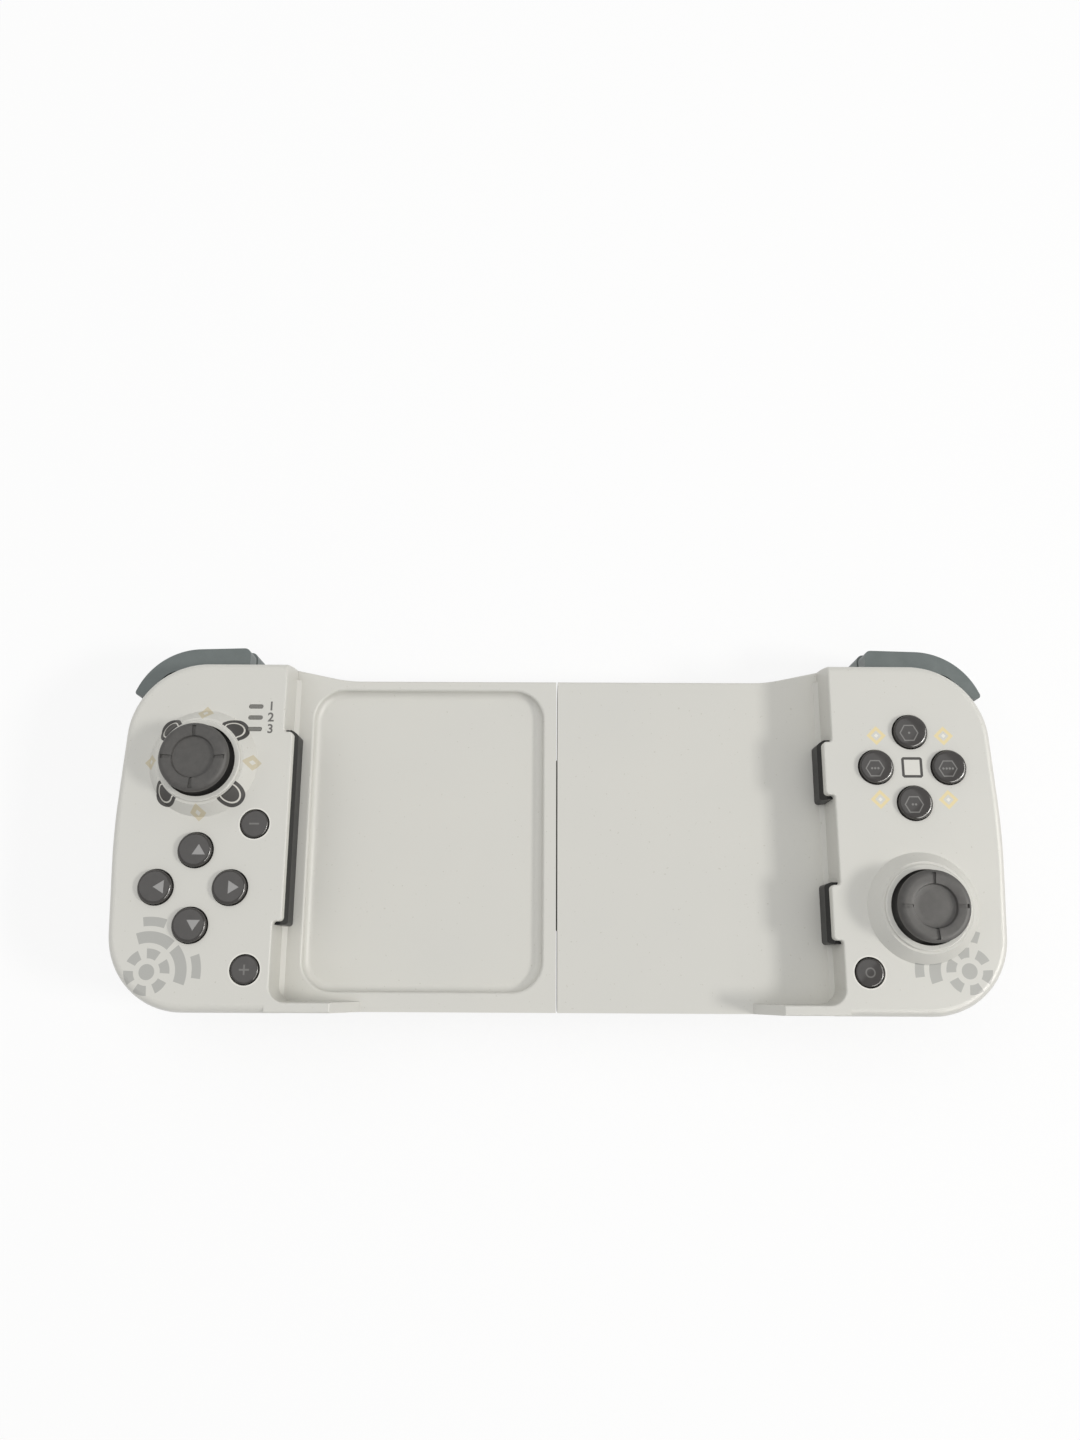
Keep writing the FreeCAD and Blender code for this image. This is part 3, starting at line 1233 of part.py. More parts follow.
def charging_socket():
    """Sheet-metal charging socket with its contact blade."""
    y_range = (SOCKET_OUTER_Y, SOCKET_OUTER_Y + SOCKET_LENGTH)
    shell = bar_along_y(SOCKET_WIDTH, SOCKET_HEIGHT, SOCKET_X, socket_depth(), y_range, 0.49 * SOCKET_HEIGHT)
    width, height = SOCKET_WIDTH - 2 * SOCKET_SHEET, SOCKET_HEIGHT - 2 * SOCKET_SHEET
    inside = (y_range[0], y_range[1] - SOCKET_SHEET * 3)
    hollow = bar_along_y(width, height, SOCKET_X, socket_depth(), inside, 0.49 * height)
    blade_width, blade_height, blade_length = SOCKET_BLADE
    blade_y = (y_range[1] - SOCKET_SHEET * 3 - blade_length, y_range[1] - SOCKET_SHEET)
    blade = bar_along_y(blade_width, blade_height, SOCKET_X, socket_depth(), blade_y, 0.1)
    return shell.cut(hollow).fuse(blade)


def stick_pieces(side, place):
    """The five pieces of one thumb stick."""
    return {
        side + "_stick_housing": stick_housing(place),
        side + "_stick_yoke": stick_yoke(place),
        side + "_stick_rocker": stick_rocker(place),
        side + "_stick_stem": stick_stem(place),
        side + "_stick_cap": stick_cap(place),
    }


def shoulder_pieces(side):
    """The shoulder keys of one grip and what carries them."""
    return {
        side + "_bumper": bumper(),
        side + "_trigger": trigger(),
        side + "_shoulder_bracket": shoulder_bracket(),
        side + "_shoulder_pins": shoulder_pins(),
        side + "_shoulder_switches": shoulder_switches(),
        side + "_trigger_spring": trigger_spring(),
    }


def button_pieces(prefix, centre, radius, small):
    """Four domed buttons around a centre and the small flush ones of the same grip."""
    pieces = {}
    for name, place in cross_places(centre, radius).items():
        pieces[prefix + "_button_" + name] = button(place, BUTTON_RADIUS, BUTTON_HEIGHT, BUTTON_SHOULDER)
    for name, place in small.items():
        small_button = button(place, SMALL_BUTTON_RADIUS, SMALL_BUTTON_HEIGHT, SMALL_BUTTON_SHOULDER)
        pieces[name] = small_button.cut(wall_relief(place))
    return pieces


def left_pieces():
    """Every piece of the left grip, drawn as on the right and mirrored."""
    buttons = button_places(DPAD_CENTRE, DPAD_RADIUS, LEFT_SMALL_BUTTONS)
    pieces = {
        "left_front_shell": front_shell(LEFT_STICK, buttons, LEFT_TABS, True),
        "left_rear_shell": rear_shell(True),
        "left_pad": pad(pad_spans(LEFT_TABS)[0]),
        "left_screws": screws(),
        "left_board": board(LEFT_STICK),
        "left_dome_mat": dome_mat(DPAD_CENTRE, DPAD_RADIUS, LEFT_SMALL_BUTTONS),
        "light_guide": light_guide(),
        "battery": battery(),
    }
    pieces.update(stick_pieces("left", LEFT_STICK))
    pieces.update(shoulder_pieces("left"))
    pieces.update(button_pieces("direction", DPAD_CENTRE, DPAD_RADIUS, LEFT_SMALL_BUTTONS))
    return {name: mirrored(shape) for name, shape in pieces.items()}


def right_pieces():
    """Every piece of the right grip."""
    buttons = button_places(FACE_CENTRE, FACE_RADIUS, RIGHT_SMALL_BUTTONS)
    lower_span, upper_span = pad_spans(RIGHT_TABS)
    pieces = {
        "right_front_shell": front_shell(RIGHT_STICK, buttons, RIGHT_TABS, False),
        "right_rear_shell": rear_shell(False),
        "right_pad_lower": pad(lower_span),
        "right_pad_upper": pad(upper_span),
        "right_screws": screws(),
        "right_board": board(RIGHT_STICK),
        "right_dome_mat": dome_mat(FACE_CENTRE, FACE_RADIUS, RIGHT_SMALL_BUTTONS),
        "charging_socket": charging_socket(),
    }
    pieces.update(stick_pieces("right", RIGHT_STICK))
    pieces.update(shoulder_pieces("right"))
    pieces.update(button_pieces("face", FACE_CENTRE, FACE_RADIUS, RIGHT_SMALL_BUTTONS))
    return pieces


def slide_pieces():
    """The sliding joint between the halves."""
    return {
        "guide_rail_upper": guide_rail(1),
        "guide_rail_lower": guide_rail(-1),
        "slide_tongue": slide_tongue(),
        "tongue_cover": tongue_cover(),
        "return_spring_upper": return_spring(1),
        "return_spring_lower": return_spring(-1),
        "ribbon_cable": ribbon_cable(),
    }


# The origin is on the table, under the middle of the closed controller's outline
MIDDLE_Y = (KEY_TOP + GRIP_BOTTOM - SWELL_BOTTOM) / 2


def all_pieces():
    """Every piece in its place, with the origin under the middle of the whole."""
    pieces = {**left_pieces(), **right_pieces(), **slide_pieces()}
    return {name: shape.translated(V(0, -MIDDLE_Y, 0)) for name, shape in pieces.items()}


os.makedirs("parts", exist_ok=True)
for node, shape in all_pieces().items():
    shape.exportStep("parts/" + node + ".step")
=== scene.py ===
import math

import bpy
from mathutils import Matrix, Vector


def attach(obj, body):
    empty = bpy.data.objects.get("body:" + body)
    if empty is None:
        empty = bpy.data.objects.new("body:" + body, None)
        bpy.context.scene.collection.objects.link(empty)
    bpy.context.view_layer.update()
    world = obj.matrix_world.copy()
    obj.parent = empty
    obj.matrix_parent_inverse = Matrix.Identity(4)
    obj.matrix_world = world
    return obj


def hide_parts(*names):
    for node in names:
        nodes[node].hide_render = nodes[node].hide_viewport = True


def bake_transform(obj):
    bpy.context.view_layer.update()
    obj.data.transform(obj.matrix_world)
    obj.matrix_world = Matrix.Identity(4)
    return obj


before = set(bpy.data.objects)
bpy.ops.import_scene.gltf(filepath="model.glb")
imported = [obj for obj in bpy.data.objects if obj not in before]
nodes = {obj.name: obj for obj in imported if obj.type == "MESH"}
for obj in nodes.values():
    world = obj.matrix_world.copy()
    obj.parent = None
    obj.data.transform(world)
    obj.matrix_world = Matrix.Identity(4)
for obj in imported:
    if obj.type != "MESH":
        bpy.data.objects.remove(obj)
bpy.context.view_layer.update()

# The setting: the controller lies on its back on a pale table and is seen from above its lower
# edge, through a wide lens close by. A window on the right throws the shadows, a bright wall beside
# it shines in the glossy buttons, and the white ceiling and the room fill the shadows.
camera_data = bpy.data.cameras.new("phone_view")
camera_data.sensor_fit = "VERTICAL"
camera_data.sensor_height = 36.0
camera_data.lens = 27.05
camera_data.clip_start = 0.01
camera = bpy.data.objects.new("phone_view", camera_data)
camera.location = (-0.00279, -0.0342, 0.2679)
camera.rotation_euler = (0.2333, 0.00368, 0.00529)
bpy.context.collection.objects.link(camera)
bpy.context.scene.camera = camera
bpy.context.scene.view_settings.view_transform = "Standard"

LIGHT_AIM = Vector((0.0, 0.0, 0.02))


def lamp(name, place, width, height, power, colour):
    """A rectangular light that faces the controller."""
    data = bpy.data.lights.new(name, "AREA")
    data.shape = "RECTANGLE"
    data.size = width
    data.size_y = height
    data.energy = power
    data.color = colour
    light = bpy.data.objects.new(name, data)
    light.location = place
    light.rotation_euler = (LIGHT_AIM - light.location).to_track_quat("-Z", "Y").to_euler()
    bpy.context.collection.objects.link(light)
    return light


lamp("window", (1.28, -0.26, 1.00), 0.32, 0.22, 9.5, (1.0, 0.985, 0.950))
lamp("ceiling", (-0.3, 0.3, 1.2), 1.6, 1.6, 7.6, (1.0, 1.0, 0.985))
bright_wall = lamp("bright_wall", (0.50, -0.20, 0.40), 0.90, 0.22, 6.5, (1.0, 0.98, 0.93))
bright_wall.visible_diffuse = False

room = bpy.data.worlds.new("room")
room.use_nodes = True
room_tree = room.node_tree
room_air = room_tree.nodes["Background"]
room_air.inputs["Color"].default_value = (0.985, 0.99, 1.0, 1.0)
room_air.inputs["Strength"].default_value = 0.46
room_white = room_tree.nodes.new("ShaderNodeBackground")
room_white.inputs["Color"].default_value = (1.0, 1.0, 1.0, 1.0)
room_rays = room_tree.nodes.new("ShaderNodeLightPath")
room_mix = room_tree.nodes.new("ShaderNodeMixShader")
room_tree.links.new(room_rays.outputs["Is Camera Ray"], room_mix.inputs[0])
room_tree.links.new(room_air.outputs[0], room_mix.inputs[1])
room_tree.links.new(room_white.outputs[0], room_mix.inputs[2])
room_tree.links.new(room_mix.outputs[0], room_tree.nodes["World Output"].inputs["Surface"])
bpy.context.scene.world = room


# Table: a matt white top under the controller. It keeps the soft shadow, and runs into white
# where the camera or a reflection sees it.
class Field:
    """A socket of a material that takes part in arithmetic."""

    def __init__(self, tree, socket):
        self.tree = tree
        self.socket = socket

    def math(self, operation, *values):
        """A Math node on the values, or on this socket where none is given."""
        node = self.tree.nodes.new("ShaderNodeMath")
        node.operation = operation
        for slot, value in zip(node.inputs, (values or (self,))):
            if isinstance(value, Field):
                self.tree.links.new(value.socket, slot)
            else:
                slot.default_value = value
        return Field(self.tree, node.outputs[0])

    def __add__(self, other):
        return self.math("ADD", self, other)

    __radd__ = __add__

    def __sub__(self, other):
        return self.math("SUBTRACT", self, other)

    def __rsub__(self, other):
        return self.math("SUBTRACT", other, self)

    def __mul__(self, other):
        return self.math("MULTIPLY", self, other)

    __rmul__ = __mul__

    def __truediv__(self, other):
        return self.math("DIVIDE", self, other)

    def __abs__(self):
        return self.math("ABSOLUTE")

    def root(self):
        return self.math("SQRT")

    def least(self, other):
        return self.math("MINIMUM", self, other)

    def most(self, other):
        return self.math("MAXIMUM", self, other)

    def below(self, limit, blur=0.00006):
        """1 where the value is under the limit, with a narrow soft edge."""
        ramp = (limit - self) / blur + 0.5
        ramp.socket.node.use_clamp = True
        return ramp

    def above(self, limit, blur=0.00006):
        """1 where the value is over the limit, with a narrow soft edge."""
        ramp = (self - limit) / blur + 0.5
        ramp.socket.node.use_clamp = True
        return ramp

    def within(self, low, high, blur=0.00006):
        """1 between two limits."""
        return self.above(low, blur).least(self.below(high, blur))


class Finish:
    """One material: a Principled shader and the nodes that feed it."""

    MIX_INPUTS = (0, 6, 7)
    MIX_RESULT = 2

    def __init__(self, name, **values):
        self.material = bpy.data.materials.new(name)
        self.material.use_nodes = True
        self.tree = self.material.node_tree
        self.shader = self.tree.nodes["Principled BSDF"]
        self.set(self.shader, values)
        self.place = self.node("ShaderNodeTexCoord", output="Object")
        self.x = self.node("ShaderNodeSeparateXYZ", output="X", Vector=self.place)
        self.y = Field(self.tree, self.x.socket.node.outputs["Y"])
        self.z = Field(self.tree, self.x.socket.node.outputs["Z"])

    def fill(self, slot, value):
        """Link a field to a socket, or set the socket's own value."""
        if isinstance(value, Field):
            self.tree.links.new(value.socket, slot)
        elif isinstance(value, tuple) and slot.type == "RGBA":
            slot.default_value = (*value, 1.0)
        else:
            slot.default_value = value

    def set(self, node, values):
        """Fill sockets by name, an underscore for each space in it."""
        for name, value in values.items():
            self.fill(node.inputs[name.replace("_", " ")], value)

    def node(self, kind, output=0, settings=None, **values):
        """Any node: its settings first, then its sockets' values or links."""
        node = self.tree.nodes.new(kind)
        for name, value in (settings or {}).items():
            setattr(node, name, value)
        self.set(node, values)
        return Field(self.tree, node.outputs[output])

    def noise(self, scale, detail=3.0, roughness=0.55):
        """Cloudy noise from 0 to 1, with this many clouds to the metre."""
        return self.node("ShaderNodeTexNoise", output="Fac", Vector=self.place,
                         Scale=scale, Detail=detail, Roughness=roughness)

    def blend(self, factor, first, second):
        """Colour mix: the first colour at 0, the second at 1."""
        mix = self.node("ShaderNodeMix", output=self.MIX_RESULT, settings={"data_type": "RGBA"})
        for index, value in zip(self.MIX_INPUTS, (factor, first, second)):
            self.fill(mix.socket.node.inputs[index], value)
        return mix

    def bump(self, height, strength, distance):
        """A normal that follows a height."""
        return self.node("ShaderNodeBump", Height=height, Strength=strength, Distance=distance)

    def around(self, centre):
        """Distance from an upright axis, and the offsets from it."""
        across = self.x - centre[0]
        along = self.y - centre[1]
        return (across * across + along * along).root(), across, along

    def feed(self, **values):
        """Set or link the Principled shader's sockets."""
        self.set(self.shader, values)


TABLE_SIZE = 4.0
TABLE_DROP = 0.0003
TABLE_GLOW = 0.8
bpy.ops.object.select_all(action="DESELECT")
bpy.ops.mesh.primitive_plane_add(size=TABLE_SIZE, location=(0.0, 0.0, -TABLE_DROP))
table = bpy.context.object
table.name = "table"
table_white = Finish("table_white", Base_Color=(0.93, 0.93, 0.93), Roughness=0.9)
table_glow = table_white.node("ShaderNodeEmission", output="Emission")
table_rays = table_white.node("ShaderNodeLightPath", output="Is Camera Ray")
table_seen = table_rays
for ray in ("Is Glossy Ray", "Is Transmission Ray"):
    table_seen = table_seen.most(Field(table_white.tree, table_rays.socket.node.outputs[ray]))
table_mix = table_white.node("ShaderNodeMixShader", output="Shader", Fac=TABLE_GLOW * table_seen)
table_white.tree.links.new(table_white.shader.outputs[0], table_mix.socket.node.inputs[1])
table_white.tree.links.new(table_glow.socket, table_mix.socket.node.inputs[2])
table_white.tree.links.new(table_mix.socket, table_white.tree.nodes["Material Output"].inputs["Surface"])
table.data.materials.append(table_white.material)

# Front shells: one moulding on each side, with the grip's face, the stick's cone, the inner wall
# and half of the tray. Warm pale grey plastic with a fine matt spark texture, whose gloss varies as
# thumbs rub it, flat prints on the face, and a painted highlight round the small buttons' holes.
FACE_Z = 0.028
STICKS = {"left": (-0.080, 0.0124), "right": (0.080, -0.0191)}
FACE_CENTRE = (0.0799, 0.0122)
SMALL_BUTTONS = {"left_menu": (-0.0675, -0.0013), "left_option": (-0.0676, -0.0330),
                 "right_menu": (0.0675, -0.0329)}
SHELL_GREY = (0.668, 0.655, 0.605)
SHELL_SHADE = (0.630, 0.624, 0.588)
SPECK_BROWN = (0.42, 0.40, 0.33)
PRINT_GREY = (0.385, 0.385, 0.365)
PRINT_DARK = (0.050, 0.047, 0.044)
PRINT_GOLD = (0.78, 0.66, 0.38)
PRINT_TAN = (0.54, 0.47, 0.31)
PRINT_PALE = (0.80, 0.78, 0.72)
# Cream of the painted highlight on the small buttons' hole edges.
HOLE_HIGHLIGHT_CREAM = (0.90, 0.885, 0.82)


def dress(node, finish):
    """Give a CAD node its material."""
    slots = nodes[node].data.materials
    slots.clear()
    slots.append(finish.material)


def shell_plastic(name):
    """The shells' plastic, before any print: the finish and its colour."""
    finish = Finish(name, Specular_IOR_Level=0.45)
    colour = finish.blend(finish.noise(28.0, 2.0), SHELL_GREY, SHELL_SHADE)
    specks = finish.noise(1500.0, 1.0, 0.4).within(0.76, 1.0, 0.02)
    colour = finish.blend(0.35 * specks, colour, SPECK_BROWN)
    grain = finish.noise(5200.0, 2.0)
    finish.feed(
        Roughness=0.36 + 0.14 * finish.noise(160.0) + 0.04 * grain,
        Normal=finish.bump(grain, 0.22, 0.00004),
    )
    return finish, colour


def diamond_mark(across, along, reach, width):
    """Outlined upright diamond about the point where both offsets are 0."""
    span = abs(across) + abs(along)
    return span.within(reach - width, reach)


CONE_MOUTH = 0.0095
DISC_OFFSET = 0.0071
DISC_RADIUS = 0.0029
DISC_RING = (0.0018, 0.0021)
DIAMOND_OFFSET = 0.0114


def stick_print(finish, colour, centre):
    """Print around a stick's cone: four dark discs with a pale ring, and tan diamonds between."""
    ring, across, along = finish.around(centre)
    disc_x, disc_y = abs(across) - DISC_OFFSET, abs(along) - DISC_OFFSET
    disc = (disc_x * disc_x + disc_y * disc_y).root()
    level = finish.z.above(FACE_Z - 0.0003).least(ring.above(CONE_MOUTH))
    colour = finish.blend(disc.below(DISC_RADIUS).least(level), colour, PRINT_DARK)
    colour = finish.blend(0.8 * disc.within(*DISC_RING).least(level), colour, PRINT_PALE)
    for x, y in ((1, 0), (-1, 0), (0, 1), (0, -1)):
        offsets = across - x * DIAMOND_OFFSET, along - y * DIAMOND_OFFSET
        mark = diamond_mark(*offsets, 0.0018, 0.0012).least(level)
        colour = finish.blend(0.75 * mark, colour, PRINT_TAN)
    return colour


DOT_RADIUS = 0.0017
GEAR_TEETH = 6.0
GEAR_RING = (0.0029, 0.0050)
BAND_RING = (0.0062, 0.0087)
RIM_RING = (0.0098, 0.0118)
BANDS_TURN = 0.80


def corner_print(finish, colour, centre, side):
    """Grey print in a grip's lower corner: a dot, a toothed ring and two outer bands."""
    ring, across, along = finish.around(centre)
    turn = along.math("ARCTAN2", along, side * across)
    dot = ring.below(DOT_RADIUS)
    teeth = (GEAR_TEETH * turn).math("SINE").above(-0.35, 0.1)
    gear = ring.within(*GEAR_RING).least(teeth)
    split = abs(turn - BANDS_TURN)
    band = ring.within(*BAND_RING).least(split.within(0.07, 1.12, 0.008))
    rim = ring.within(*RIM_RING).least(split.within(0.46, 0.92, 0.006))
    face = finish.z.within(FACE_Z - 0.0006, FACE_Z + 0.0003)
    print_mask = dot.most(gear).most(band).most(rim).least(face)
    return finish.blend(0.82 * print_mask, colour, PRINT_GREY)


def painted_hole_highlight(finish, colour, centre):
    """A pale cream ring round a small button's hole: a painted highlight on the hole's chamfer, where
    its edge catches the light.
    """
    ring, _, _ = finish.around(centre)
    # Painted highlight: a cream ring on the chamfer round the hole.
    return finish.blend(0.6 * ring.within(0.0030, 0.0036, 0.0003), colour, HOLE_HIGHLIGHT_CREAM)


GOLD_OFFSET = (0.0076, 0.0073)
SQUARE_INSIDE = 0.00175
SQUARE_OUTSIDE = 0.00235


def cluster_print(finish, colour, centre):
    """Print between the face buttons: gold diamonds with a pale dot, and a dark square outline."""
    _, across, along = finish.around(centre)
    across, along = abs(across), abs(along)
    from_gold = across - GOLD_OFFSET[0], along - GOLD_OFFSET[1]
    corner = diamond_mark(*from_gold, 0.0022, 0.0010)
    dot = (abs(from_gold[0]) + abs(from_gold[1])).below(0.0005)
    square = across.most(along)
    outline = square.within(SQUARE_INSIDE, SQUARE_OUTSIDE).least((across + along).below(0.0043))
    colour = finish.blend(corner, colour, PRINT_GOLD)
    colour = finish.blend(dot, colour, PRINT_PALE)
    colour = finish.blend(square.below(SQUARE_INSIDE) * 0.3, colour, PRINT_PALE)
    return finish.blend(outline, colour, PRINT_DARK)


left_front, left_colour = shell_plastic("left_shell_plastic")
left_colour = stick_print(left_front, left_colour, STICKS["left"])
left_colour = corner_print(left_front, left_colour, (-0.0888, -0.0336), 1)
for button_name in ("left_menu", "left_option"):
    left_colour = painted_hole_highlight(left_front, left_colour, SMALL_BUTTONS[button_name])
left_front.feed(Base_Color=left_colour)
dress("left_front_shell", left_front)

right_front, right_colour = shell_plastic("right_shell_plastic")
right_colour = cluster_print(right_front, right_colour, FACE_CENTRE)
right_colour = corner_print(right_front, right_colour, (0.0890, -0.0325), -1)
right_colour = painted_hole_highlight(right_front, right_colour, SMALL_BUTTONS["right_menu"])
right_front.feed(Base_Color=right_colour)
dress("right_front_shell", right_front)

# Rear shells: the palm halves of the grips and the tray's underside, in the same plastic and
# texture as the fronts, held by screws from behind.
rear, rear_colour = shell_plastic("rear_shell_plastic")
rear.feed(Base_Color=rear_colour)
dress("left_rear_shell", rear)
dress("right_rear_shell", rear)

# Lamp numbers: 1 to 3 in thin figures, one beside each indicator window. They are printed on the
# left front shell in dark grey ink.
numbers_ink = Finish("number_ink", Specular_IOR_Level=0.3)
numbers_ink.feed(
    Base_Color=numbers_ink.blend(numbers_ink.noise(3000.0), (0.13, 0.125, 0.12), (0.18, 0.175, 0.165)),
    Roughness=0.5 + 0.15 * numbers_ink.noise(900.0),
)
NUMBER_COLUMN = -0.0654
NUMBER_ROWS = {"1": 0.0257, "2": 0.0231, "3": 0.0204}
INK_THICKNESS = 0.00001
for number, row in NUMBER_ROWS.items():
    bpy.ops.object.select_all(action="DESELECT")
    bpy.ops.object.text_add(location=(NUMBER_COLUMN, row, FACE_Z + INK_THICKNESS))
    numeral = bpy.context.object
    numeral.data.body = number
    numeral.data.size = 0.0029
    numeral.data.extrude = INK_THICKNESS
    numeral.data.align_x = "CENTER"
    numeral.data.align_y = "CENTER"
    numeral.data.offset = 0.00006
    numeral.name = "lamp_number_" + number
    bpy.ops.object.convert(target="MESH")
    bpy.ops.object.transform_apply(location=True, rotation=True, scale=True)
    numeral.data.materials.clear()
    numeral.data.materials.append(numbers_ink.material)
    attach(numeral, "left_half")

# Indicator windows: one smoky clear moulding behind the left front shell, whose three bars fill the
# shell's slots and carry the lamps' light.
smoke = Finish("smoky_window", Specular_IOR_Level=0.5)
smoke.feed(
    Base_Color=smoke.blend(smoke.noise(900.0), (0.150, 0.145, 0.130), (0.185, 0.180, 0.165)),
    Roughness=0.22 + 0.12 * smoke.noise(1500.0),
)
dress("light_guide", smoke)

# Pads: satin black rubber strips set in the inner walls under the tabs, one long on the left and two
# short on the right. They hold the phone's ends, and gather a little dust.
rubber = Finish("pad_rubber", Specular_IOR_Level=0.15)
rubber_dust = rubber.noise(240.0, 4.0)
rubber.feed(
    Base_Color=rubber.blend(rubber_dust, (0.010, 0.010, 0.011), (0.026, 0.026, 0.025)),
    Roughness=0.24 + 0.14 * rubber_dust,
    Normal=rubber.bump(rubber.noise(2600.0), 0.25, 0.00005),
)
for node in ("left_pad", "right_pad_upper", "right_pad_lower"):
    dress(node, rubber)


# Round buttons: glossy dark plastic, from round moulds, each with a domed top, a flange that holds
# it under the shell, and a plunger that presses the dome mat. The mark is printed under the gloss.
def turned_piece(name, centre, stations, segments=64):
    """A closed body about an upright axis: a disc at the first (radius, height), drawn through the
    others by extruding and scaling, and closed to a point at the last."""
    bpy.ops.object.select_all(action="DESELECT")
    radius, height = stations[0]
    bpy.ops.mesh.primitive_circle_add(
        vertices=segments, radius=radius, fill_type="NGON",
        location=(*centre, height), rotation=(0.0, 0.0, math.pi / segments),
    )
    piece = bpy.context.object
    piece.name = name
    bpy.ops.object.transform_apply(location=True, rotation=True, scale=True)
    bpy.ops.object.mode_set(mode="EDIT")
    bpy.ops.mesh.select_all(action="SELECT")
    for next_radius, next_height in stations[1:]:
        bpy.ops.mesh.extrude_region_move(
            TRANSFORM_OT_translate={"value": (0.0, 0.0, next_height - height)}
        )
        scale = next_radius / radius
        bpy.ops.transform.resize(value=(scale, scale, 1.0), center_override=(*centre, next_height))
        radius, height = next_radius, next_height
    bpy.ops.mesh.merge(type="CENTER")
    bpy.ops.mesh.select_all(action="SELECT")
    bpy.ops.mesh.normals_make_consistent(inside=False)
    bpy.ops.object.mode_set(mode="OBJECT")
    bpy.ops.object.shade_smooth_by_angle(angle=math.radians(40.0))
    return piece


FLANGE_TOP = FACE_Z - 0.0023
FLANGE_FOOT = FACE_Z - 0.0031
PLUNGER_FOOT = FACE_Z - 0.0035
PLUNGER_RADIUS = 0.0018


def button_piece(name, centre, radius, top, shoulder, flange):
    """A domed button: plunger, flange, upright side, a rounded shoulder and a shallow dome."""
    wide, tall = shoulder
    crown = 0.3 * tall
    stations = [
        (PLUNGER_RADIUS, PLUNGER_FOOT), (PLUNGER_RADIUS, FLANGE_FOOT),
        (radius + flange, FLANGE_FOOT), (radius + flange, FLANGE_TOP), (radius, FLANGE_TOP),
    ]
    for step in range(9):
        turn = math.radians(10.0 * step)
        stations.append((
            radius - wide * (1.0 - math.cos(turn)), top - crown - tall * (1.0 - math.sin(turn)),
        ))
    inner = stations[-1][0]
    for share in (0.75, 0.5, 0.25, 0.08):
        stations.append((share * inner, top - crown * share ** 2))
    return turned_piece(name, centre, stations)


def button_gloss(name, centre, draw_mark, strength, ink):
    """Glossy dark plastic, with a mark drawn by a function of the offsets from the centre."""
    finish = Finish(name, Specular_IOR_Level=0.5)
    haze = finish.noise(500.0, 4.0)
    colour = finish.blend(haze, (0.046, 0.043, 0.041), (0.070, 0.065, 0.062))
    _, across, along = finish.around(centre)
    colour = finish.blend(strength * draw_mark(across, along), colour, ink)
    finish.feed(Base_Color=colour, Roughness=0.09 + 0.08 * haze)
    return finish


ARROW_SHIFT = 0.0011


def arrow_mark(direction):
    """Filled triangle that points away from the pad's middle."""
    def mark(across, along):
        across = across - ARROW_SHIFT
        forward = direction[0] * across + direction[1] * along
        sideways = direction[1] * across - direction[0] * along
        return (abs(sideways) * 1.6 + forward).below(0.0012).least(forward.above(-0.0011))
    return mark


def pip_mark(count):
    """Thin hexagon outline with a row of dots, one to four."""
    def mark(across, along):
        across = across + 0.0006
        along = along + 0.0005
        wide, tall = abs(across), abs(along)
        hexagon = (0.866 * wide + 0.5 * tall).most(tall).within(0.00160, 0.00184)
        for pip in range(count):
            offset = 0.0007 * (pip - (count - 1) / 2)
            spot = (across - offset) * (across - offset) + along * along
            hexagon = hexagon.most(spot.below(0.00025 ** 2, 0.00008 ** 2))
        return hexagon
    return mark


def bar_mark(upright):
    """Thin minus sign, or a plus sign where there is an upright bar too."""
    def mark(across, along):
        wide, tall = abs(across), abs(along)
        bar = wide.below(0.0011).least(tall.below(0.00018))
        if upright:
            bar = bar.most(tall.below(0.0011).least(wide.below(0.00018)))
        return bar
    return mark


def ring_mark(across, along):
    """Thin ring."""
    return (across * across + along * along).root().within(0.0008, 0.0011)


def place_button(name, key, centre, sizes, draw_mark, strength, ink):
    """One button in its hole, with its mark, which rides on its key."""
    button = button_piece(name + "_cap", centre, *sizes)
    gloss = button_gloss(name + "_gloss", centre, draw_mark, strength, ink)
    button.data.materials.append(gloss.material)
    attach(button, key)
    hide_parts(name)


MARK_GREY = (0.30, 0.295, 0.29)
MARK_DIM = (0.23, 0.225, 0.215)
# radius, top, width and height of the rounded shoulder, and the flange's reach
DOMED_BUTTON = (0.00375, FACE_Z + 0.0015, (0.0009, 0.0006), 0.0010)
SMALL_BUTTON = (0.00305, FACE_Z + 0.00045, (0.0005, 0.0004), 0.0004)
DIRECTION_CENTRE = (-0.0802, -0.0154)
DIRECTION_PITCH = 0.0082
FACE_PITCH = 0.00815
WHERE = {"top": (0, 1), "bottom": (0, -1), "inner": (1, 0), "outer": (-1, 0)}
for index, (where, (step_x, step_y)) in enumerate(WHERE.items()):
    place_button(
        "direction_button_" + where, "direction_key_" + where,
        (DIRECTION_CENTRE[0] + DIRECTION_PITCH * step_x, DIRECTION_CENTRE[1] + DIRECTION_PITCH * step_y),
        DOMED_BUTTON, arrow_mark((step_x, step_y)), 1.0, MARK_GREY,
    )
    place_button(
        "face_button_" + where, "face_key_" + where,
        (FACE_CENTRE[0] - FACE_PITCH * step_x, FACE_CENTRE[1] + FACE_PITCH * step_y),
        DOMED_BUTTON, pip_mark(index + 1), 0.9, MARK_DIM,
    )
for name, draw_mark in (
    ("left_menu", bar_mark(False)), ("left_option", bar_mark(True)), ("right_menu", ring_mark),
):
    place_button(
        name + "_button", name + "_key", SMALL_BUTTONS[name], SMALL_BUTTON, draw_mark, 0.6, MARK_DIM,
    )

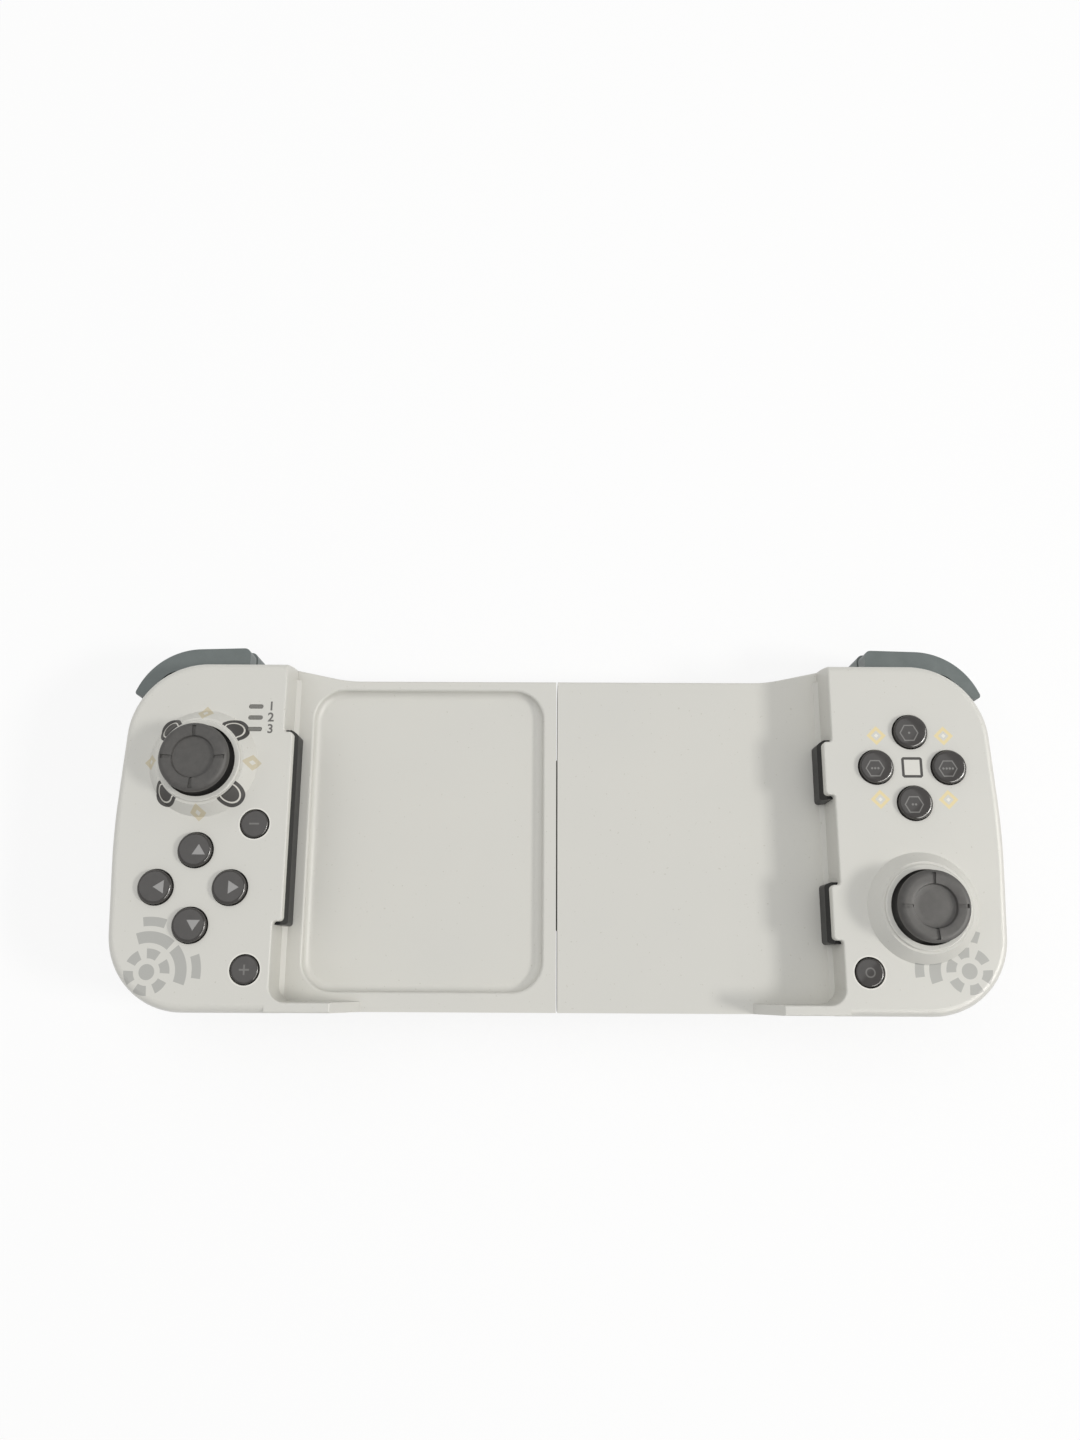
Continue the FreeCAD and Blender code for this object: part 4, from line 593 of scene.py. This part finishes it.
# Stick caps: matt charcoal rubber moulded over a hard core that is pressed onto the stem. The disc
# is dished inside a raised ring with four grooves, and a domed skirt closes the cone's mouth.
STICK_PIVOT_Z = 0.021
CAP_GROOVES = 4
GROOVE_DEPTH = 0.00042
cap_rubber = Finish("cap_rubber", Specular_IOR_Level=0.35)
cap_dust = cap_rubber.noise(700.0, 4.0)
cap_rubber.feed(
    Base_Color=cap_rubber.blend(cap_dust, (0.066, 0.064, 0.061), (0.108, 0.103, 0.098)),
    Roughness=0.46 + 0.2 * cap_dust,
    Normal=cap_rubber.bump(cap_rubber.noise(4200.0), 0.3, 0.00005),
)


def ball_station(radius, angle):
    """A point of a profile on a ball about the stick's pivot."""
    turn = math.radians(angle)
    return (radius * math.sin(turn), radius * math.cos(turn))


def stick_cap_piece(name, centre):
    """A stick cap turned from its socket, over the skirt and the neck, to the dish."""
    profile = [(0.0015, 0.0133), (0.0015, 0.0076), (0.0030, 0.0076)]
    profile += [ball_station(0.0102, angle) for angle in (17.1, 27.0, 37.0, 47.0, 58.0)]
    profile += [ball_station(0.0110, angle) for angle in (58.0, 47.0, 37.0, 27.0, 18.6)]
    profile += [(0.0035, 0.0132), (0.0042, 0.0139)]
    profile += [(0.00755, 0.0132), (0.0077, 0.0134), (0.0077, 0.0140)]
    profile += [(0.00763, 0.01450), (0.00740, 0.01485), (0.00705, 0.01512), (0.00668, 0.01526)]
    profile += [(0.0063, 0.0153), (0.0056, 0.01520), (0.0050, 0.01520), (0.00474, 0.01508)]
    profile += [(0.00462, 0.01475), (0.00452, 0.01438), (0.0043, 0.01428)]
    profile += [(0.0030, 0.01432), (0.0004, 0.01440)]
    stations = [(radius, STICK_PIVOT_Z + height) for radius, height in profile]
    cap = turned_piece(name, centre, stations, 144)
    bpy.ops.object.mode_set(mode="EDIT")
    bpy.ops.mesh.select_mode(type="FACE")
    bpy.ops.mesh.select_all(action="DESELECT")
    bpy.ops.object.mode_set(mode="OBJECT")
    for face in cap.data.polygons:
        spoke = Vector((face.center.x - centre[0], face.center.y - centre[1]))
        turn = math.degrees(math.atan2(spoke.y, spoke.x)) % (360.0 / CAP_GROOVES)
        on_spoke = min(turn, 360.0 / CAP_GROOVES - turn) < 3.0
        in_ring = 0.0046 < spoke.length < 0.0072 and face.center.z > STICK_PIVOT_Z + 0.0149
        face.select = on_spoke and in_ring
    bpy.ops.object.mode_set(mode="EDIT")
    bpy.ops.mesh.extrude_region_move(TRANSFORM_OT_translate={"value": (0.0, 0.0, -GROOVE_DEPTH)})
    bpy.ops.mesh.select_all(action="SELECT")
    bpy.ops.mesh.normals_make_consistent(inside=False)
    bpy.ops.object.mode_set(mode="OBJECT")
    bpy.ops.object.shade_smooth_by_angle(angle=math.radians(38.0))
    return cap


for side, centre in STICKS.items():
    cap = stick_cap_piece(side + "_stick_rubber", centre)
    cap.data.materials.append(cap_rubber.material)
    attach(cap, side + "_stick")
    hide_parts(side + "_stick_cap")

# Stick modules: black moulded nylon. A housing stands on each board, and carries a yoke, a rocker
# and the stem that the cap sits on.
nylon = Finish("module_nylon", Specular_IOR_Level=0.4)
nylon_cloud = nylon.noise(260.0)
nylon.feed(
    Base_Color=nylon.blend(nylon_cloud, (0.030, 0.031, 0.033), (0.055, 0.056, 0.058)),
    Roughness=0.38 + 0.18 * nylon_cloud,
    Normal=nylon.bump(nylon.noise(3200.0), 0.15, 0.00004),
)
for side in STICKS:
    for part in ("_stick_housing", "_stick_yoke", "_stick_rocker", "_stick_stem"):
        dress(side + part, nylon)

# Shoulder keys: bumpers and triggers moulded in satin teal-grey plastic, which turn on pins
# under the shoulders. Their colour is darkened further with painted shade, as though they lay in
# the shoulders' shadow. Fingers leave a mottled haze on them.
shaded_key_plastic = Finish("shaded_key_plastic", Specular_IOR_Level=0.45)
key_wear = shaded_key_plastic.noise(300.0, 4.0)
shaded_key_plastic.feed(
    # Both colours are darker than the plastic's own: painted shade for the keys under the shoulders.
    Base_Color=shaded_key_plastic.blend(key_wear, (0.105, 0.124, 0.122), (0.155, 0.178, 0.175)),
    Roughness=0.34 + 0.18 * key_wear,
    Normal=shaded_key_plastic.bump(shaded_key_plastic.noise(4200.0), 0.2, 0.00004),
)
for side in STICKS:
    dress(side + "_bumper", shaded_key_plastic)
    dress(side + "_trigger", shaded_key_plastic)

# Hinge brackets, guide rails, tongue and its cover: dark grey glass-filled plastic, moulded, with
# a dull flowing grain.
frame_plastic = Finish("frame_plastic", Specular_IOR_Level=0.35)
frame_flow = frame_plastic.noise(90.0, 5.0)
frame_plastic.feed(
    Base_Color=frame_plastic.blend(frame_flow, (0.100, 0.100, 0.098), (0.150, 0.148, 0.144)),
    Roughness=0.5 + 0.15 * frame_flow,
    Normal=frame_plastic.bump(frame_plastic.noise(2400.0), 0.2, 0.00005),
)
for node in ("left_shoulder_bracket", "right_shoulder_bracket", "guide_rail_upper", "guide_rail_lower",
             "slide_tongue", "tongue_cover", "left_shoulder_switches", "right_shoulder_switches"):
    dress(node, frame_plastic)

# Circuit boards: glass-fibre laminate on the shells' posts, green lacquer over a fine mesh of copper
# tracks, which shows as paler lines.
lacquer = Finish("board_lacquer", Specular_IOR_Level=0.5)
track_x = (lacquer.x * 2600.0).math("SINE").above(0.90, 0.08)
track_y = (lacquer.y * 1900.0).math("SINE").above(0.93, 0.06)
track_area = lacquer.noise(120.0, 1.0).above(0.5, 0.02)
tracks = track_x.most(track_y).least(track_area)
lacquer.feed(
    Base_Color=lacquer.blend(tracks, (0.010, 0.075, 0.035), (0.035, 0.16, 0.07)),
    Roughness=0.30 + 0.1 * lacquer.noise(500.0),
)
dress("left_board", lacquer)
dress("right_board", lacquer)

# Dome mats: milky silicone rubber, moulded as one sheet with a dome under each button, laid on the
# board, soft and slightly dusty.
silicone = Finish("dome_silicone", Specular_IOR_Level=0.4)
silicone_dust = silicone.noise(350.0, 4.0)
silicone.feed(
    Base_Color=silicone.blend(silicone_dust, (0.52, 0.53, 0.54), (0.62, 0.62, 0.61)),
    Roughness=0.45 + 0.2 * silicone_dust,
)
dress("left_dome_mat", silicone)
dress("right_dome_mat", silicone)

# Battery cell: a silver-grey foil pouch with a slightly creased skin, held between ribs in the left
# half.
foil = Finish("cell_foil", Metallic=0.7, Specular_IOR_Level=0.5)
foil_crease = foil.noise(180.0, 5.0)
foil.feed(
    Base_Color=foil.blend(foil_crease, (0.42, 0.43, 0.44), (0.58, 0.59, 0.60)),
    Roughness=0.32 + 0.2 * foil_crease,
    Normal=foil.bump(foil_crease, 0.4, 0.0002),
)
dress("battery", foil)

# Hinge pins, trigger springs and the charging socket: drawn wire and stamped sheet, of bright steel
# with fine scratches. The socket is soldered to the right board.
steel = Finish("bright_steel", Metallic=1.0)
steel_scratch = steel.noise(1400.0, 4.0)
steel.feed(
    Base_Color=steel.blend(steel_scratch, (0.50, 0.50, 0.49), (0.66, 0.66, 0.65)),
    Roughness=0.24 + 0.16 * steel_scratch,
)
for node in ("left_shoulder_pins", "right_shoulder_pins", "left_trigger_spring", "right_trigger_spring",
             "charging_socket"):
    dress(node, steel)


def stretched_copy(name, node, finish):
    """A copy of a CAD piece that joins both halves, with its doubled points merged, its finish, and its
    place put into the mesh; the CAD piece is hidden.
    """
    piece = bpy.data.objects.new(name, nodes[node].data.copy())
    bpy.context.collection.objects.link(piece)
    bpy.ops.object.select_all(action="DESELECT")
    piece.select_set(True)
    bpy.context.view_layer.objects.active = piece
    bpy.ops.object.mode_set(mode="EDIT")
    bpy.ops.mesh.select_all(action="SELECT")
    bpy.ops.mesh.remove_doubles(threshold=0.000001)
    bpy.ops.object.mode_set(mode="OBJECT")
    piece.data.materials.clear()
    piece.data.materials.append(finish.material)
    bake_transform(piece)
    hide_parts(node)


for where in ("upper", "lower"):
    node = "return_spring_" + where
    stretched_copy(node + "_coil", node, steel)

# Ribbon cable: amber polyimide film with fine copper strips along it, folded inside the tongue. Its
# ends are plugged into the two boards.
film = Finish("ribbon_film", Specular_IOR_Level=0.5)
film_strip = (film.y * 9000.0).math("SINE").above(0.1, 0.3)
film.feed(
    Base_Color=film.blend(film_strip, (0.42, 0.20, 0.05), (0.30, 0.12, 0.03)),
    Roughness=0.28 + 0.1 * film.noise(600.0),
)
stretched_copy("folded_ribbon", "ribbon_cable", film)

# Shell screws: small zinc-plated pan-head screws with a cross recess, sunk in the rear shells'
# holes. Three hold each grip and two each half of the tray.
SCREW_SHANK = 0.0009
SCREW_HEAD = 0.0019
SCREW_HEAD_HEIGHT = 0.0012
CROSS_SPAN = 0.0022
CROSS_WIDTH = 0.00042
CROSS_DEPTH = 0.0006
GRIP_SCREWS = ((0.0920, 0.0229), (0.0910, -0.0321), (0.0675, 0.0309))
TRAY_SCREWS = ((0.0080, 0.0264), (0.0080, -0.0336))
GRIP_SEAT = (FACE_Z - 0.0033, FACE_Z - 0.0165)
TRAY_SEAT = (FACE_Z - 0.0146, FACE_Z - 0.0195)
zinc = Finish("screw_zinc", Metallic=1.0)
zinc_wear = zinc.noise(1800.0, 3.0)
zinc.feed(
    Base_Color=zinc.blend(zinc_wear, (0.36, 0.36, 0.355), (0.50, 0.50, 0.49)),
    Roughness=0.30 + 0.2 * zinc_wear,
)


def screw_piece(name, place, tip, seat):
    """One screw, turned from its tip to its domed head, with a cross cut into the head."""
    foot = seat - SCREW_HEAD_HEIGHT
    screw = turned_piece(name, place, [
        (0.5 * SCREW_SHANK, tip), (SCREW_SHANK, tip - 0.0005), (SCREW_SHANK, seat), (SCREW_HEAD, seat),
        (SCREW_HEAD, seat - 0.0005), (0.93 * SCREW_HEAD, seat - 0.0009),
        (0.7 * SCREW_HEAD, foot + 0.00008), (0.2 * SCREW_HEAD, foot),
    ], 32)
    for length, width in ((CROSS_SPAN, CROSS_WIDTH), (CROSS_WIDTH, CROSS_SPAN)):
        bpy.ops.object.select_all(action="DESELECT")
        bpy.ops.mesh.primitive_cube_add(
            size=1.0, location=(*place, foot), scale=(length, width, 2.0 * CROSS_DEPTH),
        )
        cutter = bpy.context.object
        bpy.ops.object.select_all(action="DESELECT")
        screw.select_set(True)
        bpy.context.view_layer.objects.active = screw
        slot_cut = screw.modifiers.new("cross", "BOOLEAN")
        slot_cut.operation = "DIFFERENCE"
        slot_cut.object = cutter
        bpy.ops.object.modifier_apply(modifier=slot_cut.name)
        bpy.data.objects.remove(cutter)
    return screw


for side, sign in (("left", -1), ("right", 1)):
    group = []
    for places, (tip, seat) in ((GRIP_SCREWS, GRIP_SEAT), (TRAY_SCREWS, TRAY_SEAT)):
        for x, y in places:
            group.append(screw_piece("screw", (sign * x, y), tip, seat))
    bpy.ops.object.select_all(action="DESELECT")
    for screw in group:
        screw.select_set(True)
    bpy.context.view_layer.objects.active = group[0]
    bpy.ops.object.join()
    screws = bpy.context.object
    screws.name = side + "_shell_screws"
    screws.data.materials.clear()
    screws.data.materials.append(zinc.material)
    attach(screws, side + "_half")
    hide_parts(side + "_screws")
